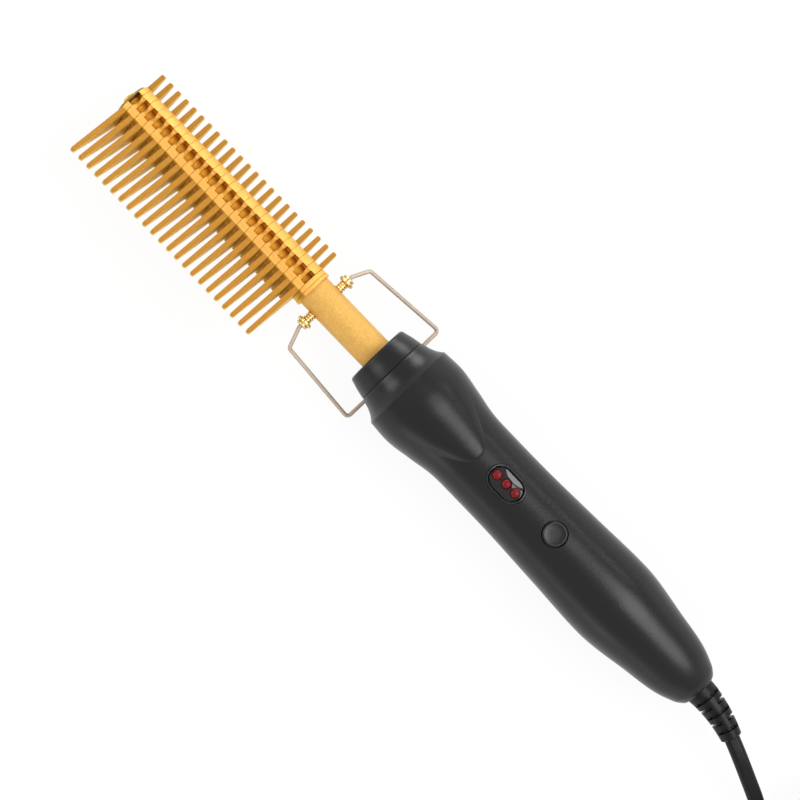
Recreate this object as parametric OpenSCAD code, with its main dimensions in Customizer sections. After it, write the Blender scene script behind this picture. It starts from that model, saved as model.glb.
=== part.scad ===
// Electric hot comb: a stack of cast comb segments on a heated core tube, a barrel with a
// folding wire stand, and a hand grip that holds the controls and the mains lead.
// Lengths along the barrel are stations, counted from the back of the comb towards the lead.

/* [Comb] */
// Number of comb segments, each with one long and one short tooth
segment_count = 23; // [8:1:23]
// Distance from tooth to tooth
tooth_pitch = 4; // [3.6:0.1:5]
// Length of the toothed part of a segment
tooth_part_l = 2.15; // [2:0.05:2.4]
// Radius of the round back of the comb
comb_r = 7.5; // [7.2:0.1:9]
// Turn of the comb from the button side towards the long teeth
comb_turn = 5; // [0:1:15]
// Width of the channel between the rail and the round back
channel_w = 5; // [4:0.1:5.6]
// Where the rail starts beside the channel
rail_in = 0.9; // [0.6:0.1:1.2]
// Width of the rail
rail_w = 2.7; // [2:0.1:3.4]
// Height of the rail's inner edge above the axis
rail_h = 7.2; // [7:0.1:8]
// Width of the slanted land that carries the long teeth
land_w = 10.25; // [9:0.05:11]
// Slope of the land below the horizontal
land_slope = 46; // [40:1:52]
// Length of the long teeth along their middle
long_tooth_l = 25.3; // [12:0.1:30]
// Rise of the long teeth above the horizontal
long_tooth_rise = 38; // [30:1:45]
// Height of a long tooth's tip, across the comb
long_tip_h = 1.6; // [1:0.1:2.4]
// Reach of the short teeth from the axis
short_tooth_reach = 14.7; // [11:0.1:18]
// Height of a short tooth's tip, across the comb
short_tip_h = 2.3; // [1.4:0.1:3]
// Thickness of a tooth at its root, along the comb
tooth_root_t = 2; // [1.6:0.05:2.1]
// Thickness of a tooth at its tip, along the comb
tooth_tip_t = 1.7; // [1.2:0.05:2]
// Width of the seam between two segments
seam_w = 0.15; // [0.1:0.05:0.3]
// Outer radius of the heated core tube
core_r = 3.2; // [3:0.1:3.6]
// Wall of the core tube
core_wall = 0.5; // [0.3:0.05:0.6]
// Radius of the heating rod
heater_r = 2.4; // [1.8:0.1:2.4]
// Distance from the comb's tip to the heating rod
heater_gap = 14; // [12:1:20]
// Radius of the disc that closes the comb's tip
end_disc_r = 6.6; // [5:0.1:7.4]
// Thickness of the disc that closes the comb's tip
end_disc_t = 0.8; // [0.6:0.1:1.6]

/* [Barrel and stand] */
// Outer radius of the barrel
barrel_r = 6.5; // [6.2:0.1:6.9]
// Wall of the barrel
barrel_wall = 0.6; // [0.4:0.1:0.9]
// Bare length of the barrel between the comb and the grip
barrel_bare_l = 32; // [31.5:0.1:33]
// Length of the stepped flange behind the comb
flange_l = 3.1; // [2.6:0.1:4]
// Radius of the flange
flange_r = 7.6; // [7.2:0.1:8.4]
// Distance of the stand's pivot from the flange
pivot_at = 6; // [5:0.1:7]
// Radius of a stud's neck
stud_neck_r = 1.45; // [1.35:0.05:1.7]
// Length of a stud's neck outside the barrel
stud_neck_l = 3.1; // [2.6:0.1:4]
// Radius of a stud's head
stud_head_r = 3; // [2.4:0.1:3.4]
// Length of a stud's head
stud_head_l = 2.6; // [2.2:0.1:3]
// Thickness of the stand's wire
wire_d = 1.5; // [1.2:0.05:1.8]
// Width of the stand near its pivot, between wire centres
stand_near_w = 40.4; // [38:0.1:44]
// Width of the stand at its far end, between wire centres
stand_far_w = 45; // [43:0.1:50]
// Distance of the stand's shoulders from its pivot
stand_shoulder = 3.3; // [3:0.1:4]
// Length of the stand from its pivot to its crossbar
stand_l = 39.9; // [38:0.1:41]
// Bend radius of the wire's corners
wire_bend_r = 2; // [1.6:0.1:2.4]
// Side play of the stand, taken up towards the long teeth
stand_play = 0.7; // [0:0.1:0.8]

/* [Grip] */
// Length of the nose cap
nose_l = 8.2; // [8:0.1:9]
// Radius of the nose cap at its front
nose_r = 12.7; // [12.4:0.1:13.4]
// Radius of the nose cap at its seam with the grip
seam_r = 14.4; // [14.2:0.1:14.8]
// Length of the flare from the seam to the ridge
flare_l = 8.2; // [8:0.1:9]
// Radius at the ridge
ridge_r = 18.2; // [17.6:0.1:19]
// Radius of the belly behind the ridge
belly_r = 18.6; // [18:0.1:20]
// Radius of the waist under the indicator window
waist_r = 15.25; // [15:0.05:16.4]
// Radius of the swell in the palm
swell_r = 17; // [16.4:0.1:19]
// Length of the grip from its seam to its back end
grip_l = 157.6; // [154:0.1:175]
// Radius of the grip's back end
tail_r = 7.1; // [6.8:0.1:8]
// Wall of the grip's shells
shell_wall = 2.2; // [1.8:0.1:2.4]
// Height of the tongue's tip above the waist
tongue_h = 0.9; // [0.4:0.1:1.2]

/* [Controls] */
// Start of the indicator window behind the grip's seam
window_at = 48.6; // [48:0.1:52]
// Length of the indicator window with its bezel
window_l = 15.6; // [15:0.1:17]
// Width of the indicator window with its bezel
window_w = 10.3; // [9.6:0.1:11]
// Width of the bezel round the window
bezel_w = 0.5; // [0.4:0.05:0.7]
// Number of indicator lamps
led_count = 3; // [2:1:3]
// Distance from lamp to lamp
led_pitch = 4.5; // [4.2:0.1:4.8]
// Diameter of a lamp
led_d = 3.6; // [2.8:0.1:3.8]
// Centre of the power button behind the grip's seam
button_at = 80.8; // [79:0.1:84]
// Diameter of the power button
button_d = 9; // [8:0.1:9.6]
// Travel of the power button
button_travel = 0.6; // [0.3:0.1:0.8]
// How far the button stands proud of the grip
button_proud = 0.3; // [0.1:0.1:0.6]
// Width of the circuit board
board_w = 21; // [18:0.1:21.6]
// Thickness of the circuit board
board_t = 1.6; // [1:0.1:2]
// Height of the board's upper face above the axis
board_z = 5; // [4:0.1:5.4]

/* [Lead] */
// Length of the strain relief outside the grip
relief_l = 20.7; // [20:0.1:22]
// Radius of the strain relief at the grip
relief_r = 5.7; // [5.2:0.1:5.9]
// Radius of the strain relief at its free end
relief_end_r = 3.9; // [3.4:0.1:4.4]
// Width of the flat mains lead
lead_w = 5.8; // [5.4:0.1:6.2]
// Thickness of the flat mains lead
lead_t = 3.8; // [3.4:0.1:4]
// Radius of the stored coil at the middle of its turns
coil_r = 31; // [30:1:35]
// Thickness of the tie round the coil
tie_t = 0.6; // [0.4:0.1:1]
// Radius of a plug pin
pin_r = 2; // [1.8:0.1:2.4]
// Length of a plug pin outside the plug
pin_l = 19; // [16:0.5:20]
// Distance between the plug pins
pin_pitch = 18.6; // [17:0.1:20]
// Thickness of the plug
plug_h = 13.7; // [12:0.1:15]
// Width of the plug at its pins
plug_w = 35.4; // [32:0.1:36]

/* [Hidden] */
$fn = 48;

// Clearances and small common sizes
slip = 0.05;              // radial clearance of pieces that slide or turn in a bore
thread_gap = 0.03;        // radial clearance of a screw in its pilot hole
table_gap = 0.1;          // gap between the resting stand and the table
joint_gap = 0.1;          // gap between a piece and the cover that it lies behind
eps = 0.01;

// Stations of the comb, counted from the flange's back face
comb_back = -flange_l;
full_l = (segment_count - 1) * tooth_pitch;
comb_front = comb_back - full_l - tooth_part_l;
disc_front = comb_front - seam_w - end_disc_t;
tip_screw_head_h = 1.4;
tip_screw_head_r = 2.4;
tip_screw_r = 1.2;
tip_screw_l = 7;
core_plug_l = 9;
front_end = disc_front - tip_screw_head_h;

// Stations of the grip
nose_front = barrel_bare_l;
seam = nose_front + nose_l;
ridge = seam + flare_l;
grip_end = seam + grip_l;
belly = ridge + 7.6;
waist_front = ridge + 34;
waist_back = waist_front + 22;
swell = grip_end - 45;
lead_exit = grip_end + relief_l;

// Strain relief's middle line as [share of its length, offset] points
relief_across = [[0, 0], [0.17, 0], [0.36, 0.35], [0.58, 1.05], [0.79, 2.1], [1, 3.4]];
relief_rise = [[0, 0], [0.17, 0], [0.36, 0], [0.58, -0.1], [0.79, -0.25], [1, -0.5]];
function relief_at(share) =
    [grip_end + share * relief_l, curve_at(share, relief_across), curve_at(share, relief_rise)];
relief_tip = relief_at(1);
relief_slant = unit(relief_tip - relief_at(0.9));
relief_back = lead_exit + relief_end_r * sqrt(1 - relief_slant[0] ^ 2);

// Place of the part: it lies on a table, its box centred on the origin
axis_z = belly_r;
mid_station = (front_end + relief_back) / 2;

// Comb section, with [across, up] points in the comb's own turned frame
land_top = [rail_in + rail_w, rail_h - 0.3];
land_dir = [cos(land_slope), -sin(land_slope)];
land_low = land_top + land_w * land_dir;
land_mid = (land_top + land_low) / 2;
long_dir = [cos(long_tooth_rise), sin(long_tooth_rise)];
long_up = [-sin(long_tooth_rise), cos(long_tooth_rise)];
long_tip = land_mid + long_tooth_l * long_dir;
tip_cut = 0.5;
long_tooth_points = [
    land_top, long_tip - tip_cut * long_dir + long_tip_h / 2 * long_up,
    long_tip + (long_tip_h / 2 - 0.3) * long_up, long_tip - (long_tip_h / 2 - 0.3) * long_up,
    long_tip - tip_cut * long_dir - long_tip_h / 2 * long_up, land_low, land_mid - 3 * long_dir
];
short_root_top = 1.2;
short_root_low = -5.2;
short_mid = (short_root_top + short_root_low) / 2;
short_tooth_points = [
    [-comb_r + 2.4, short_root_top],
    [-short_tooth_reach + tip_cut, short_mid + short_tip_h / 2],
    [-short_tooth_reach, short_mid + short_tip_h / 2 - 0.3],
    [-short_tooth_reach, short_mid - short_tip_h / 2 + 0.3],
    [-short_tooth_reach + tip_cut, short_mid - short_tip_h / 2],
    [-comb_r + 2.4, short_root_low]
];
function turned_y(p) = p[0] * cos(comb_turn) + p[1] * sin(comb_turn);
tooth_y = max([for (p = long_tooth_points) turned_y(p)]);
stand_y = -stand_far_w / 2 - wire_d / 2 + stand_play;
mid_y = (tooth_y + stand_y) / 2;

channel_mid = rail_in - channel_w / 2;
pocket_floor = 1.2;
pocket_end_w = 2.1;
pocket_mid_w = 2.9;
dip_r = 2.9;
dip_depth = 5.35;
heater_back = comb_back - 6;
heater_wire_r = 0.45;

// Core, flange and barrel
core_back = 9;
spigot_l = 12;
barrel_in_r = barrel_r - barrel_wall;
stud_thread_r = 1.2;
stud_thread_in = core_r + 0.6;
stud_head_at = barrel_r + stud_neck_l;
stud_end = stud_head_at + stud_head_l;
wire_r = wire_d / 2;
wire_socket = 2.2;
rest_angle = asin((axis_z - table_gap - wire_r) / stand_l);

// Inside of the grip
seat_front = nose_front + 2.2;
seat_l = 11.4;
seat_r = 10.3;
barrel_end = seat_front + seat_l + 1.4;
barrel_flange_t = 1.2;
barrel_flange_r = 9;
socket_r = seam_r - shell_wall;
socket_back = barrel_end + 0.2;
rib_t = 2;
rib_bore = 8;
cavity_front = socket_back + rib_t;
rear_wall = 2.4;
relief_hole_r = relief_r + slip;

// Outline of the grip as [station, radius] points, joined by smooth curves
flare_points = [
    [seam, seam_r], [seam + 0.45 * flare_l, seam_r + 0.27 * (ridge_r - seam_r)],
    [seam + 0.78 * flare_l, seam_r + 0.62 * (ridge_r - seam_r)], [ridge, ridge_r]
];
tail_swell_r = tail_r + 0.7 * (swell_r - tail_r);
grip_points = [
    [ridge, ridge_r], [belly, belly_r], [ridge + 18.6, waist_r + 0.55 * (belly_r - waist_r)],
    [waist_front - 7, waist_r + 0.11 * (belly_r - waist_r)], [waist_front, waist_r],
    [waist_back, waist_r + 0.05], [(waist_back + swell) / 2, (waist_r + swell_r) / 2],
    [swell, swell_r], [grip_end - 21.8, tail_swell_r], [grip_end - 10.4, tail_r + 5],
    [grip_end - 3, tail_r + 2.3], [grip_end - 0.8, tail_r + 0.8], [grip_end, tail_r]
];
function span_of(s, p, i = 0) = i >= len(p) - 2 || s < p[i + 1][0] ? i : span_of(s, p, i + 1);
function slope_at(p, i) =
    let (a = max(i - 1, 0), b = min(i + 1, len(p) - 1), peak = (p[i][1] - p[a][1]) * (p[b][1] - p[i][1]) < 0)
    peak ? 0 : (p[b][1] - p[a][1]) / (p[b][0] - p[a][0]);
function curve_at(s, p) =
    let (i = span_of(s, p), h = p[i + 1][0] - p[i][0], t = (s - p[i][0]) / h)
    p[i][1] * (2 * t ^ 3 - 3 * t ^ 2 + 1) + h * slope_at(p, i) * (t ^ 3 - 2 * t ^ 2 + t)
    + p[i + 1][1] * (3 * t ^ 2 - 2 * t ^ 3) + h * slope_at(p, i + 1) * (t ^ 3 - t ^ 2);
function grip_r(s) = s < ridge ? curve_at(s, flare_points) : curve_at(s, grip_points);
function inner_r(s) = grip_r(s) - shell_wall;
function inner_z(s, y) = sqrt(inner_r(s) ^ 2 - y ^ 2);
function steps(a, b, n) = [for (i = [0:n]) a + (b - a) * i / n];

// Tongue on the grip: two arcs that meet in a point, seen from above
tongue_back = waist_front + 3.1;
tongue_half_w = 17;
tongue_arc = 34.1;
tongue_off = tongue_arc - tongue_half_w;

// Controls
window_front = seam + window_at;
window_mid = window_front + window_l / 2;
led_row = (led_count - 1) * led_pitch;
function led_s(i) = window_mid - led_row / 2 + i * led_pitch;
button_s = seam + button_at;
button_r = button_d / 2;
button_top = grip_r(button_s) + button_proud;
button_flange_r = button_r + 0.9;
button_flange_t = 1;
guide_r = button_r + 1.8;
guide_low = inner_z(button_s, guide_r) - 0.6;
button_groove = 0.35;
board_front = window_front - 4.5;
board_back = button_s + 27;
board_mid = (board_front + board_back) / 2;
board_low = board_z - board_t;
post_s = [board_front + 3.2, board_back - 3.2];
post_y = board_w / 2 - 3;
post_r = 2.2;
small_screw_r = 1.1;
small_screw_l = 9;
small_screw_head_r = 2;
small_screw_head_h = 1.2;
switch_w = 6;
switch_h = 3.5;
plunger_r = 1.7;
plunger_out = button_travel + 0.3;
plunger_room = button_travel + 0.6;
plunger_top = board_z + switch_h + plunger_out;
led_seat_h = 5;
led_base = board_z + led_seat_h;
window_gap = 0.15;
ledge_w = bezel_w + 0.6;
window_low_r = inner_r(window_mid) + 0.5;
led_top = grip_r(window_mid) + 0.35;

// Screws that join the shells, as [station, across, head height above the axis]
shell_screw_r = 1.45;
shell_screw_head_r = 2.6;
shell_screw_head_h = 1.8;
shell_screw_l = 14;
screw_boss_r = 4;
head_hole_r = shell_screw_head_r + 0.25;
screw_seat = -7;
screw_places = [[ridge + 17.6, -9.5], [ridge + 17.6, 9.5], [grip_end - 33.8, 0]];

// Lead inside the grip
clamp_s = grip_end - 19;
clamp_l = 5;
clamp_t = 2.2;
clamp_half = 8;
clamp_top = lead_t / 2 + eps + clamp_t;
saddle_z = -lead_t / 2 - eps;
clamp_hole_y = 5.8;
inner_lead_front = clamp_s - 6;
relief_flange_t = 2;
relief_flange_r = relief_r + 1.1;
relief_inner = grip_end - rear_wall - relief_flange_t - joint_gap;

// Free lead, coil and plug as they lie on the table. The lead's points are [distance behind the strain
// relief, across, height above the table].
lead_bends = [
    [7.5, 6.2, 17], [15.5, 9.2, 14.7], [23.5, 12.2, 11.8], [30.5, 15.5, 8.5], [36.5, 18.9, 5.4],
    [42.5, 22.5, 3.3], [48.5, 26.3, 2.6], [52.5, 28.9, 2.5]
];
lead_route = concat(
    [relief_tip + [2 * joint_gap, 0, axis_z]], [for (p = lead_bends) [lead_exit + p[0], p[1], p[2]]]
);
lead_sides = 10;
coil_across = 3;
coil_layers = 3;
coil_s = lead_exit + 80.5;
coil_y = 3.2;
coil_half = coil_across * lead_w / 2 + joint_gap;
coil_h = coil_layers * lead_t;
tie_w = 7;
plug_relief_l = 12;
plug_body_l = 36;
plug_off = 20;
plug_low = tie_t + coil_h + joint_gap;
plug_z = plug_low + plug_h / 2;
plug_s = coil_s - plug_off;
plug_back = plug_s + plug_relief_l;
plug_face = plug_back + plug_body_l;
plug_y = coil_y + plug_off;
pin_in = 8;
pin_root_r = pin_r + 0.5;

// The tail leaves the coil's outer turn, rises round one bend and runs into the plug, which lies on the coil
tail_bend_r = 22;
tail_turn_r = coil_r + lead_w;
tail_straight = 1.6;
tail_bend_s = plug_s - tail_straight;
tail_reach = [tail_bend_s - coil_s, plug_y - tail_bend_r - coil_y];
tail_angle = atan2(tail_reach[1], tail_reach[0]) + acos((tail_turn_r - tail_bend_r) / norm(tail_reach));
tail_low = tie_t + coil_h - lead_t / 2;
tail_free = sqrt(pow(norm(tail_reach), 2) - pow(tail_turn_r - tail_bend_r, 2));
tail_l = tail_free + tail_bend_r * (tail_angle + 270) * PI / 180;
tail_rise = plug_z - tail_low;
function tail_height(gone) = tail_low + tail_rise * pow(gone / tail_l, 2) * (3 - 2 * gone / tail_l);
tail_route = concat(
    [[coil_s + tail_turn_r * cos(tail_angle), coil_y + tail_turn_r * sin(tail_angle), tail_low]],
    [for (a = steps(tail_angle, -270, 9)) [
        tail_bend_s + tail_bend_r * cos(a), plug_y - tail_bend_r + tail_bend_r * sin(a),
        tail_height(tail_free + tail_bend_r * (tail_angle - a) * PI / 180)
    ]],
    [[plug_s - joint_gap, plug_y, plug_z]]
);

SEGMENTS = [for (i = [1:segment_count]) str("comb_segment_", i < 10 ? "0" : "", i)];

// ---- helpers ----

// Barrel frame: stations run along -X from the flange, the axis lies above the table
module on_barrel() {
    translate([mid_station, -mid_y, axis_z]) children();
}

// Frame of the table: stations along -X, heights from the table
module on_table() {
    translate([mid_station, -mid_y, 0]) children();
}

// Body turned about the barrel axis from [radius, station] points
module turned(outline) {
    rotate([0, -90, 0]) rotate_extrude() polygon(outline);
}

// Half of such a body, above the axis (side = 1) or below it (side = -1)
module half_turned(outline, side) {
    rotate([0, -90, 0]) rotate([0, 0, -90 * side]) rotate_extrude(angle = 180) polygon(outline);
}

// Cylinder along the barrel between two stations
module rod(r, from, to, y = 0, z = 0) {
    translate([-from, y, z]) rotate([0, -90, 0]) cylinder(h = to - from, r = r);
}

// Upright cylinder at a station, between two heights
module post(r, s, y, low, high) {
    translate([-s, y, low]) cylinder(h = high - low, r = r);
}

// Block centred on a station and across, standing on a height
module block(s, y, low, size) {
    translate([-s - size[0] / 2, y - size[1] / 2, low]) cube(size);
}

// Flat shape with round ends, upright between two heights
module stadium(s, half_l, r, low, high) {
    translate([-s, 0, low]) linear_extrude(high - low) {
        square([2 * (half_l - r), 2 * r], center = true);
        for (side = [-1, 1]) translate([side * (half_l - r), 0]) circle(r);
    }
}

// Outline in the comb's section, extruded along the comb from station a to station b
module section(a, b) {
    rotate([-comb_turn, 0, 0]) translate([-b, 0, 0]) rotate([90, 0, 90]) linear_extrude(b - a) children();
}

function unit(v) = v / norm(v);
function heading(p, i) = unit(p[min(i + 1, len(p) - 1)] - p[max(i - 1, 0)]);
function sideways(t) = unit(cross([0, 0, 1], t));

// Tube swept along a route; its sizes are half widths across and upward, one pair a point
module swept(route, sizes, sides) {
    last = len(route) - 1;
    rings = [for (i = [0:last])
        let (t = heading(route, i), w = sideways(t), h = cross(t, w))
        for (k = [0:sides - 1])
            route[i] + sizes[i][0] * cos(360 * k / sides) * w + sizes[i][1] * sin(360 * k / sides) * h];
    walls = [for (i = [0:last - 1]) for (k = [0:sides - 1])
        let (a = i * sides, m = (k + 1) % sides) [a + k, a + sides + k, a + sides + m, a + m]];
    front = [for (k = [0:sides - 1]) k];
    back = [for (k = [sides - 1:-1:0]) last * sides + k];
    polyhedron(rings, concat(walls, [front, back]));
}

function to_x(route) = [for (p = route) [-p[0], p[1], p[2]]];
function even(route, a, b) = [for (p = route) [a, b]];

// Screw along its own +Z: shank, then a round head with a cross slot
module screw(r, l, head_r, head_h) {
    cylinder(h = l, r = r);
    translate([0, 0, l - eps]) difference() {
        cylinder(h = head_h + eps, r1 = head_r, r2 = head_r - 0.3);
        for (turn = [0, 90]) rotate([0, 0, turn])
            translate([-head_r * 0.6, -0.3, head_h * 0.5]) cube([head_r * 1.2, 0.6, head_h]);
    }
}

// ---- comb ----

// Section of a segment without its teeth
module body_section() {
    circle(comb_r);
    polygon([[0, 0], [rail_in, rail_h], land_top, land_low, [comb_r * 0.86, -comb_r * 0.51]]);
}

// Barrel-shaped pocket between two ribs, centred on its station
module pocket(s) {
    half = channel_w / 2;
    rotate([-comb_turn, 0, 0]) translate([-s, channel_mid, pocket_floor]) linear_extrude(comb_r)
        polygon([
            [-pocket_end_w / 2, -half], [-pocket_mid_w / 2 + 0.1, -half * 0.45],
            [-pocket_mid_w / 2, 0], [-pocket_mid_w / 2 + 0.1, half * 0.45],
            [-pocket_end_w / 2, half], [pocket_end_w / 2, half],
            [pocket_mid_w / 2 - 0.1, half * 0.45], [pocket_mid_w / 2, 0],
            [pocket_mid_w / 2 - 0.1, -half * 0.45], [pocket_end_w / 2, -half]
        ]);
}

// Wedge that thins a tooth along the comb, from its root to its tip
module thinning(s, angle, reach) {
    rotate([-comb_turn, 0, 0]) rotate([angle, 0, 0]) translate([-s, 0, -reach]) linear_extrude(2 * reach)
        polygon([
            [-tooth_root_t / 2, 0], [-tooth_tip_t / 2, reach - tip_cut], [-tooth_tip_t / 2 + 0.3, reach],
            [tooth_tip_t / 2 - 0.3, reach], [tooth_tip_t / 2, reach - tip_cut], [tooth_root_t / 2, 0]
        ]);
}

// One segment: its toothed part lies at the back, its rib at the front, number 1 next to the flange
module segment(number) {
    back = comb_back - (number - 1) * tooth_pitch;
    front = back - (number < segment_count ? tooth_pitch : tooth_part_l);
    tooth_s = back - seam_w - tooth_root_t / 2;
    long_reach = long_tip * long_dir;
    color("goldenrod") difference() {
        union() {
            section(front, back - seam_w) body_section();
            section(back - seam_w, back) circle(comb_r - 1.2);
            intersection() {
                section(tooth_s - tooth_root_t / 2, tooth_s + tooth_root_t / 2) polygon(long_tooth_points);
                thinning(tooth_s, long_tooth_rise, long_reach);
            }
            intersection() {
                section(tooth_s - tooth_root_t / 2, tooth_s + tooth_root_t / 2) polygon(short_tooth_points);
                thinning(tooth_s, 180, short_tooth_reach);
            }
        }
        rod(core_r + slip, front - 1, back + 1);
        pocket(tooth_s);
        pocket(tooth_s - tooth_pitch);
        section(front - 1, back + 1) translate([channel_mid - 0.3, dip_depth + dip_r]) circle(dip_r);
    }
}

module end_disc() {
    color("dimgray") difference() {
        rod(end_disc_r, disc_front, disc_front + end_disc_t);
        rod(tip_screw_r + slip, disc_front - 1, disc_front + 2);
    }
}

module tip_screw() {
    color("goldenrod") translate([-disc_front + joint_gap / 2 - tip_screw_l, 0, 0]) rotate([0, 90, 0])
        screw(tip_screw_r, tip_screw_l, tip_screw_head_r, tip_screw_head_h - joint_gap / 2);
}

// Tube that carries the segments and holds the heating rod, closed at the tip by a threaded plug
module core_tube() {
    front = comb_front + joint_gap;
    color("darkkhaki") difference() {
        rod(core_r, front, core_back);
        rod(core_r - core_wall, front + core_plug_l, core_back + 1);
        rod(tip_screw_r + thread_gap, front - 1, front + core_plug_l + 1);
    }
}

module heating_rod() {
    color("whitesmoke") difference() {
        rod(heater_r, comb_front + heater_gap, heater_back);
        for (side = [-1, 1]) rod(heater_wire_r + thread_gap, heater_back - 2, heater_back + 1, side * 1.2);
    }
}

module heater_leads() {
    color("white") for (side = [-1, 1]) {
        route = [
            [heater_back - 2, side * 1.2, 0], [heater_back + 8, side * 1.2, 0], [socket_back, side * 1.2, 0],
            [cavity_front + 10, side * 1.6, -0.4], [board_front - 14, side * 2.6, -1],
            [board_front - 6, side * 3.4, 0.2], [board_front + 1, side * 4, board_low - 1.2],
            [board_front + 3, side * 4, board_low - 0.6]
        ];
        swept(to_x(route), even(route, heater_wire_r, heater_wire_r), 8);
    }
}

module thermistor() {
    bead_s = heater_back + 3;
    color("darkorange") {
        translate([-bead_s, 0, -1.75]) sphere(0.8, $fn = 24);
        for (side = [-1, 1]) {
            route = [
                [bead_s, side * 0.35, -1.75], [bead_s + 12, side * 0.5, -1.9],
                [socket_back, side * 0.5, -1.9], [board_front - 10, side * 0.7, -2.6],
                [board_front + 1, side * 0.9, board_low - 1.6],
                [board_front + 3, side * 0.9, board_low - 0.5]
            ];
            swept(to_x(route), even(route, 0.25, 0.25), 8);
        }
    }
}

// ---- barrel and stand ----

module comb_flange() {
    step = flange_l * 0.6;
    color("goldenrod") difference() {
        turned([
            [core_r + slip, comb_back], [flange_r - 0.15, comb_back],
            [flange_r - 0.15, comb_back + step - 0.15], [flange_r - 0.5, comb_back + step - 0.15],
            [flange_r - 0.5, comb_back + step],
            [flange_r, comb_back + step], [flange_r, 0], [barrel_in_r - slip, 0],
            [barrel_in_r - slip, spigot_l], [core_r + slip, spigot_l]
        ]);
        translate([-pivot_at, 0, 0]) rotate([90, 0, 0])
            cylinder(h = 4 * barrel_r, r = stud_thread_r + thread_gap, center = true);
    }
}

module barrel() {
    color("goldenrod") difference() {
        turned([
            [barrel_in_r, 0], [barrel_r, 0], [barrel_r, barrel_end - barrel_flange_t],
            [barrel_flange_r, barrel_end - barrel_flange_t], [barrel_flange_r, barrel_end],
            [barrel_in_r, barrel_end]
        ]);
        translate([-pivot_at, 0, 0]) rotate([90, 0, 0])
            cylinder(h = 4 * barrel_r, r = stud_thread_r + slip, center = true);
    }
}

// Studs that screw through the barrel into the flange's spigot and hold the ends of the wire
module stand_studs() {
    neck_from = barrel_r + thread_gap;
    ridges = 5;
    head = [
        [stud_neck_r, stud_head_at], [stud_head_r - 0.5, stud_head_at + 0.9],
        [stud_head_r, stud_head_at + 1.2], [stud_head_r, stud_head_at + 1.8],
        [stud_head_r - 0.4, stud_end - 0.5], [stud_neck_r + 0.3, stud_end]
    ];
    neck = [for (i = [0:ridges - 1]) for (p = [[-0.15, 0.1], [0, 0.3], [0, 0.7]])
        [stud_neck_r + p[0], neck_from + (i + p[1]) * (stud_head_at - neck_from) / ridges]];
    color("gold") for (side = [-1, 1])
        translate([-pivot_at, 0, 0]) rotate([-90 * side, 0, 0]) difference() {
            rotate_extrude() polygon(concat(
                [[0, stud_thread_in], [stud_thread_r, stud_thread_in], [stud_thread_r, neck_from],
                 [stud_neck_r - 0.15, neck_from]],
                neck, head, [[0, stud_end]]
            ));
            translate([0, 0, stud_end - wire_socket]) cylinder(h = wire_socket + 1, r = wire_r + slip);
        }
}

// Route with its corners rounded to the wire's bend radius
function rounded(p, corner_steps) = concat([p[0]], [for (i = [1:len(p) - 2])
    let (
        a = unit(p[i] - p[i - 1]), b = unit(p[i + 1] - p[i]), bend = acos(a * b),
        side = cross(a, b)[2] < 0 ? -1 : 1, left = side * cross([0, 0, 1], a),
        start = p[i] - wire_bend_r * tan(bend / 2) * a
    )
    for (k = [0:corner_steps])
        start + wire_bend_r * (sin(bend * k / corner_steps) * a + (1 - cos(bend * k / corner_steps)) * left)
], [p[len(p) - 1]]);

// Wire bent in one plane; its two ends are round pins that turn in the studs
module stand_wire() {
    pin_end = stud_end - wire_socket + 1;
    leg_start = stud_end + 2.2;
    near = stand_near_w / 2;
    far = stand_far_w / 2;
    route = rounded([
        [0, -stud_end - 0.5, 0], [0, -leg_start, 0], [-stand_shoulder, -near, 0], [-stand_l, -far, 0],
        [-stand_l, far, 0], [-stand_shoulder, near, 0], [0, leg_start, 0], [0, stud_end + 0.5, 0]
    ], 5);
    color("tan") translate([-pivot_at, stand_play, 0]) {
        for (side = [-1, 1]) rotate([-90 * side, 0, 0]) translate([0, 0, pin_end])
            cylinder(h = leg_start - 0.8 - pin_end, r = wire_r);
        rotate([0, -rest_angle, 0]) swept(route, even(route, wire_r - eps, wire_r - eps), 12);
    }
}

// ---- grip ----

// Heat-proof ring that carries the barrel in the grip
module barrel_seat() {
    color("peru") turned([
        [barrel_r + slip, seat_front], [seat_r, seat_front], [seat_r, seat_front + seat_l],
        [barrel_r + slip, seat_front + seat_l]
    ]);
}

module nose_cap() {
    corner = 1.2;
    spigot = 4.6;
    wall = 2;
    arc = [for (a = [0:15:90]) [nose_r - corner + corner * sin(a), nose_front + corner - corner * cos(a)]];
    color("dimgray") turned(concat(
        [[barrel_r + 0.25, nose_front]], arc,
        [[seam_r - 0.15, seam - 0.35], [seam_r - 0.15, seam], [socket_r - slip, seam],
         [socket_r - slip, seam + spigot], [seat_r + slip, seam + spigot],
         [seat_r + slip, nose_front + wall], [barrel_r + 0.25, nose_front + wall]]
    ));
}

// Wall of the grip as a closed [radius, station] outline
function shell_outline() = concat(
    [for (s = steps(seam, ridge, 7)) [grip_r(s), s]],
    [for (s = steps(ridge + 2.5, belly, 2)) [grip_r(s), s]],
    [for (s = steps(belly + 4, grip_end - 12, 32)) [grip_r(s), s]],
    [for (s = steps(grip_end - 10, grip_end, 6)) [grip_r(s), s]],
    [[relief_hole_r, grip_end], [relief_hole_r, grip_end - rear_wall]],
    [for (s = steps(grip_end - rear_wall, cavity_front, 26)) [max(inner_r(s), relief_hole_r), s]],
    [[rib_bore, cavity_front], [rib_bore, socket_back], [socket_r, socket_back], [socket_r, seam]]
);

// Everything inside the grip's wall, for trimming what stands on it
module wall_middle() {
    turned(concat(
        [[0, seam + 8]],
        [for (s = steps(seam + 8, grip_end - rear_wall, 30)) [inner_r(s) + shell_wall / 2, s]],
        [[0, grip_end - rear_wall]]
    ));
}

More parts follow.
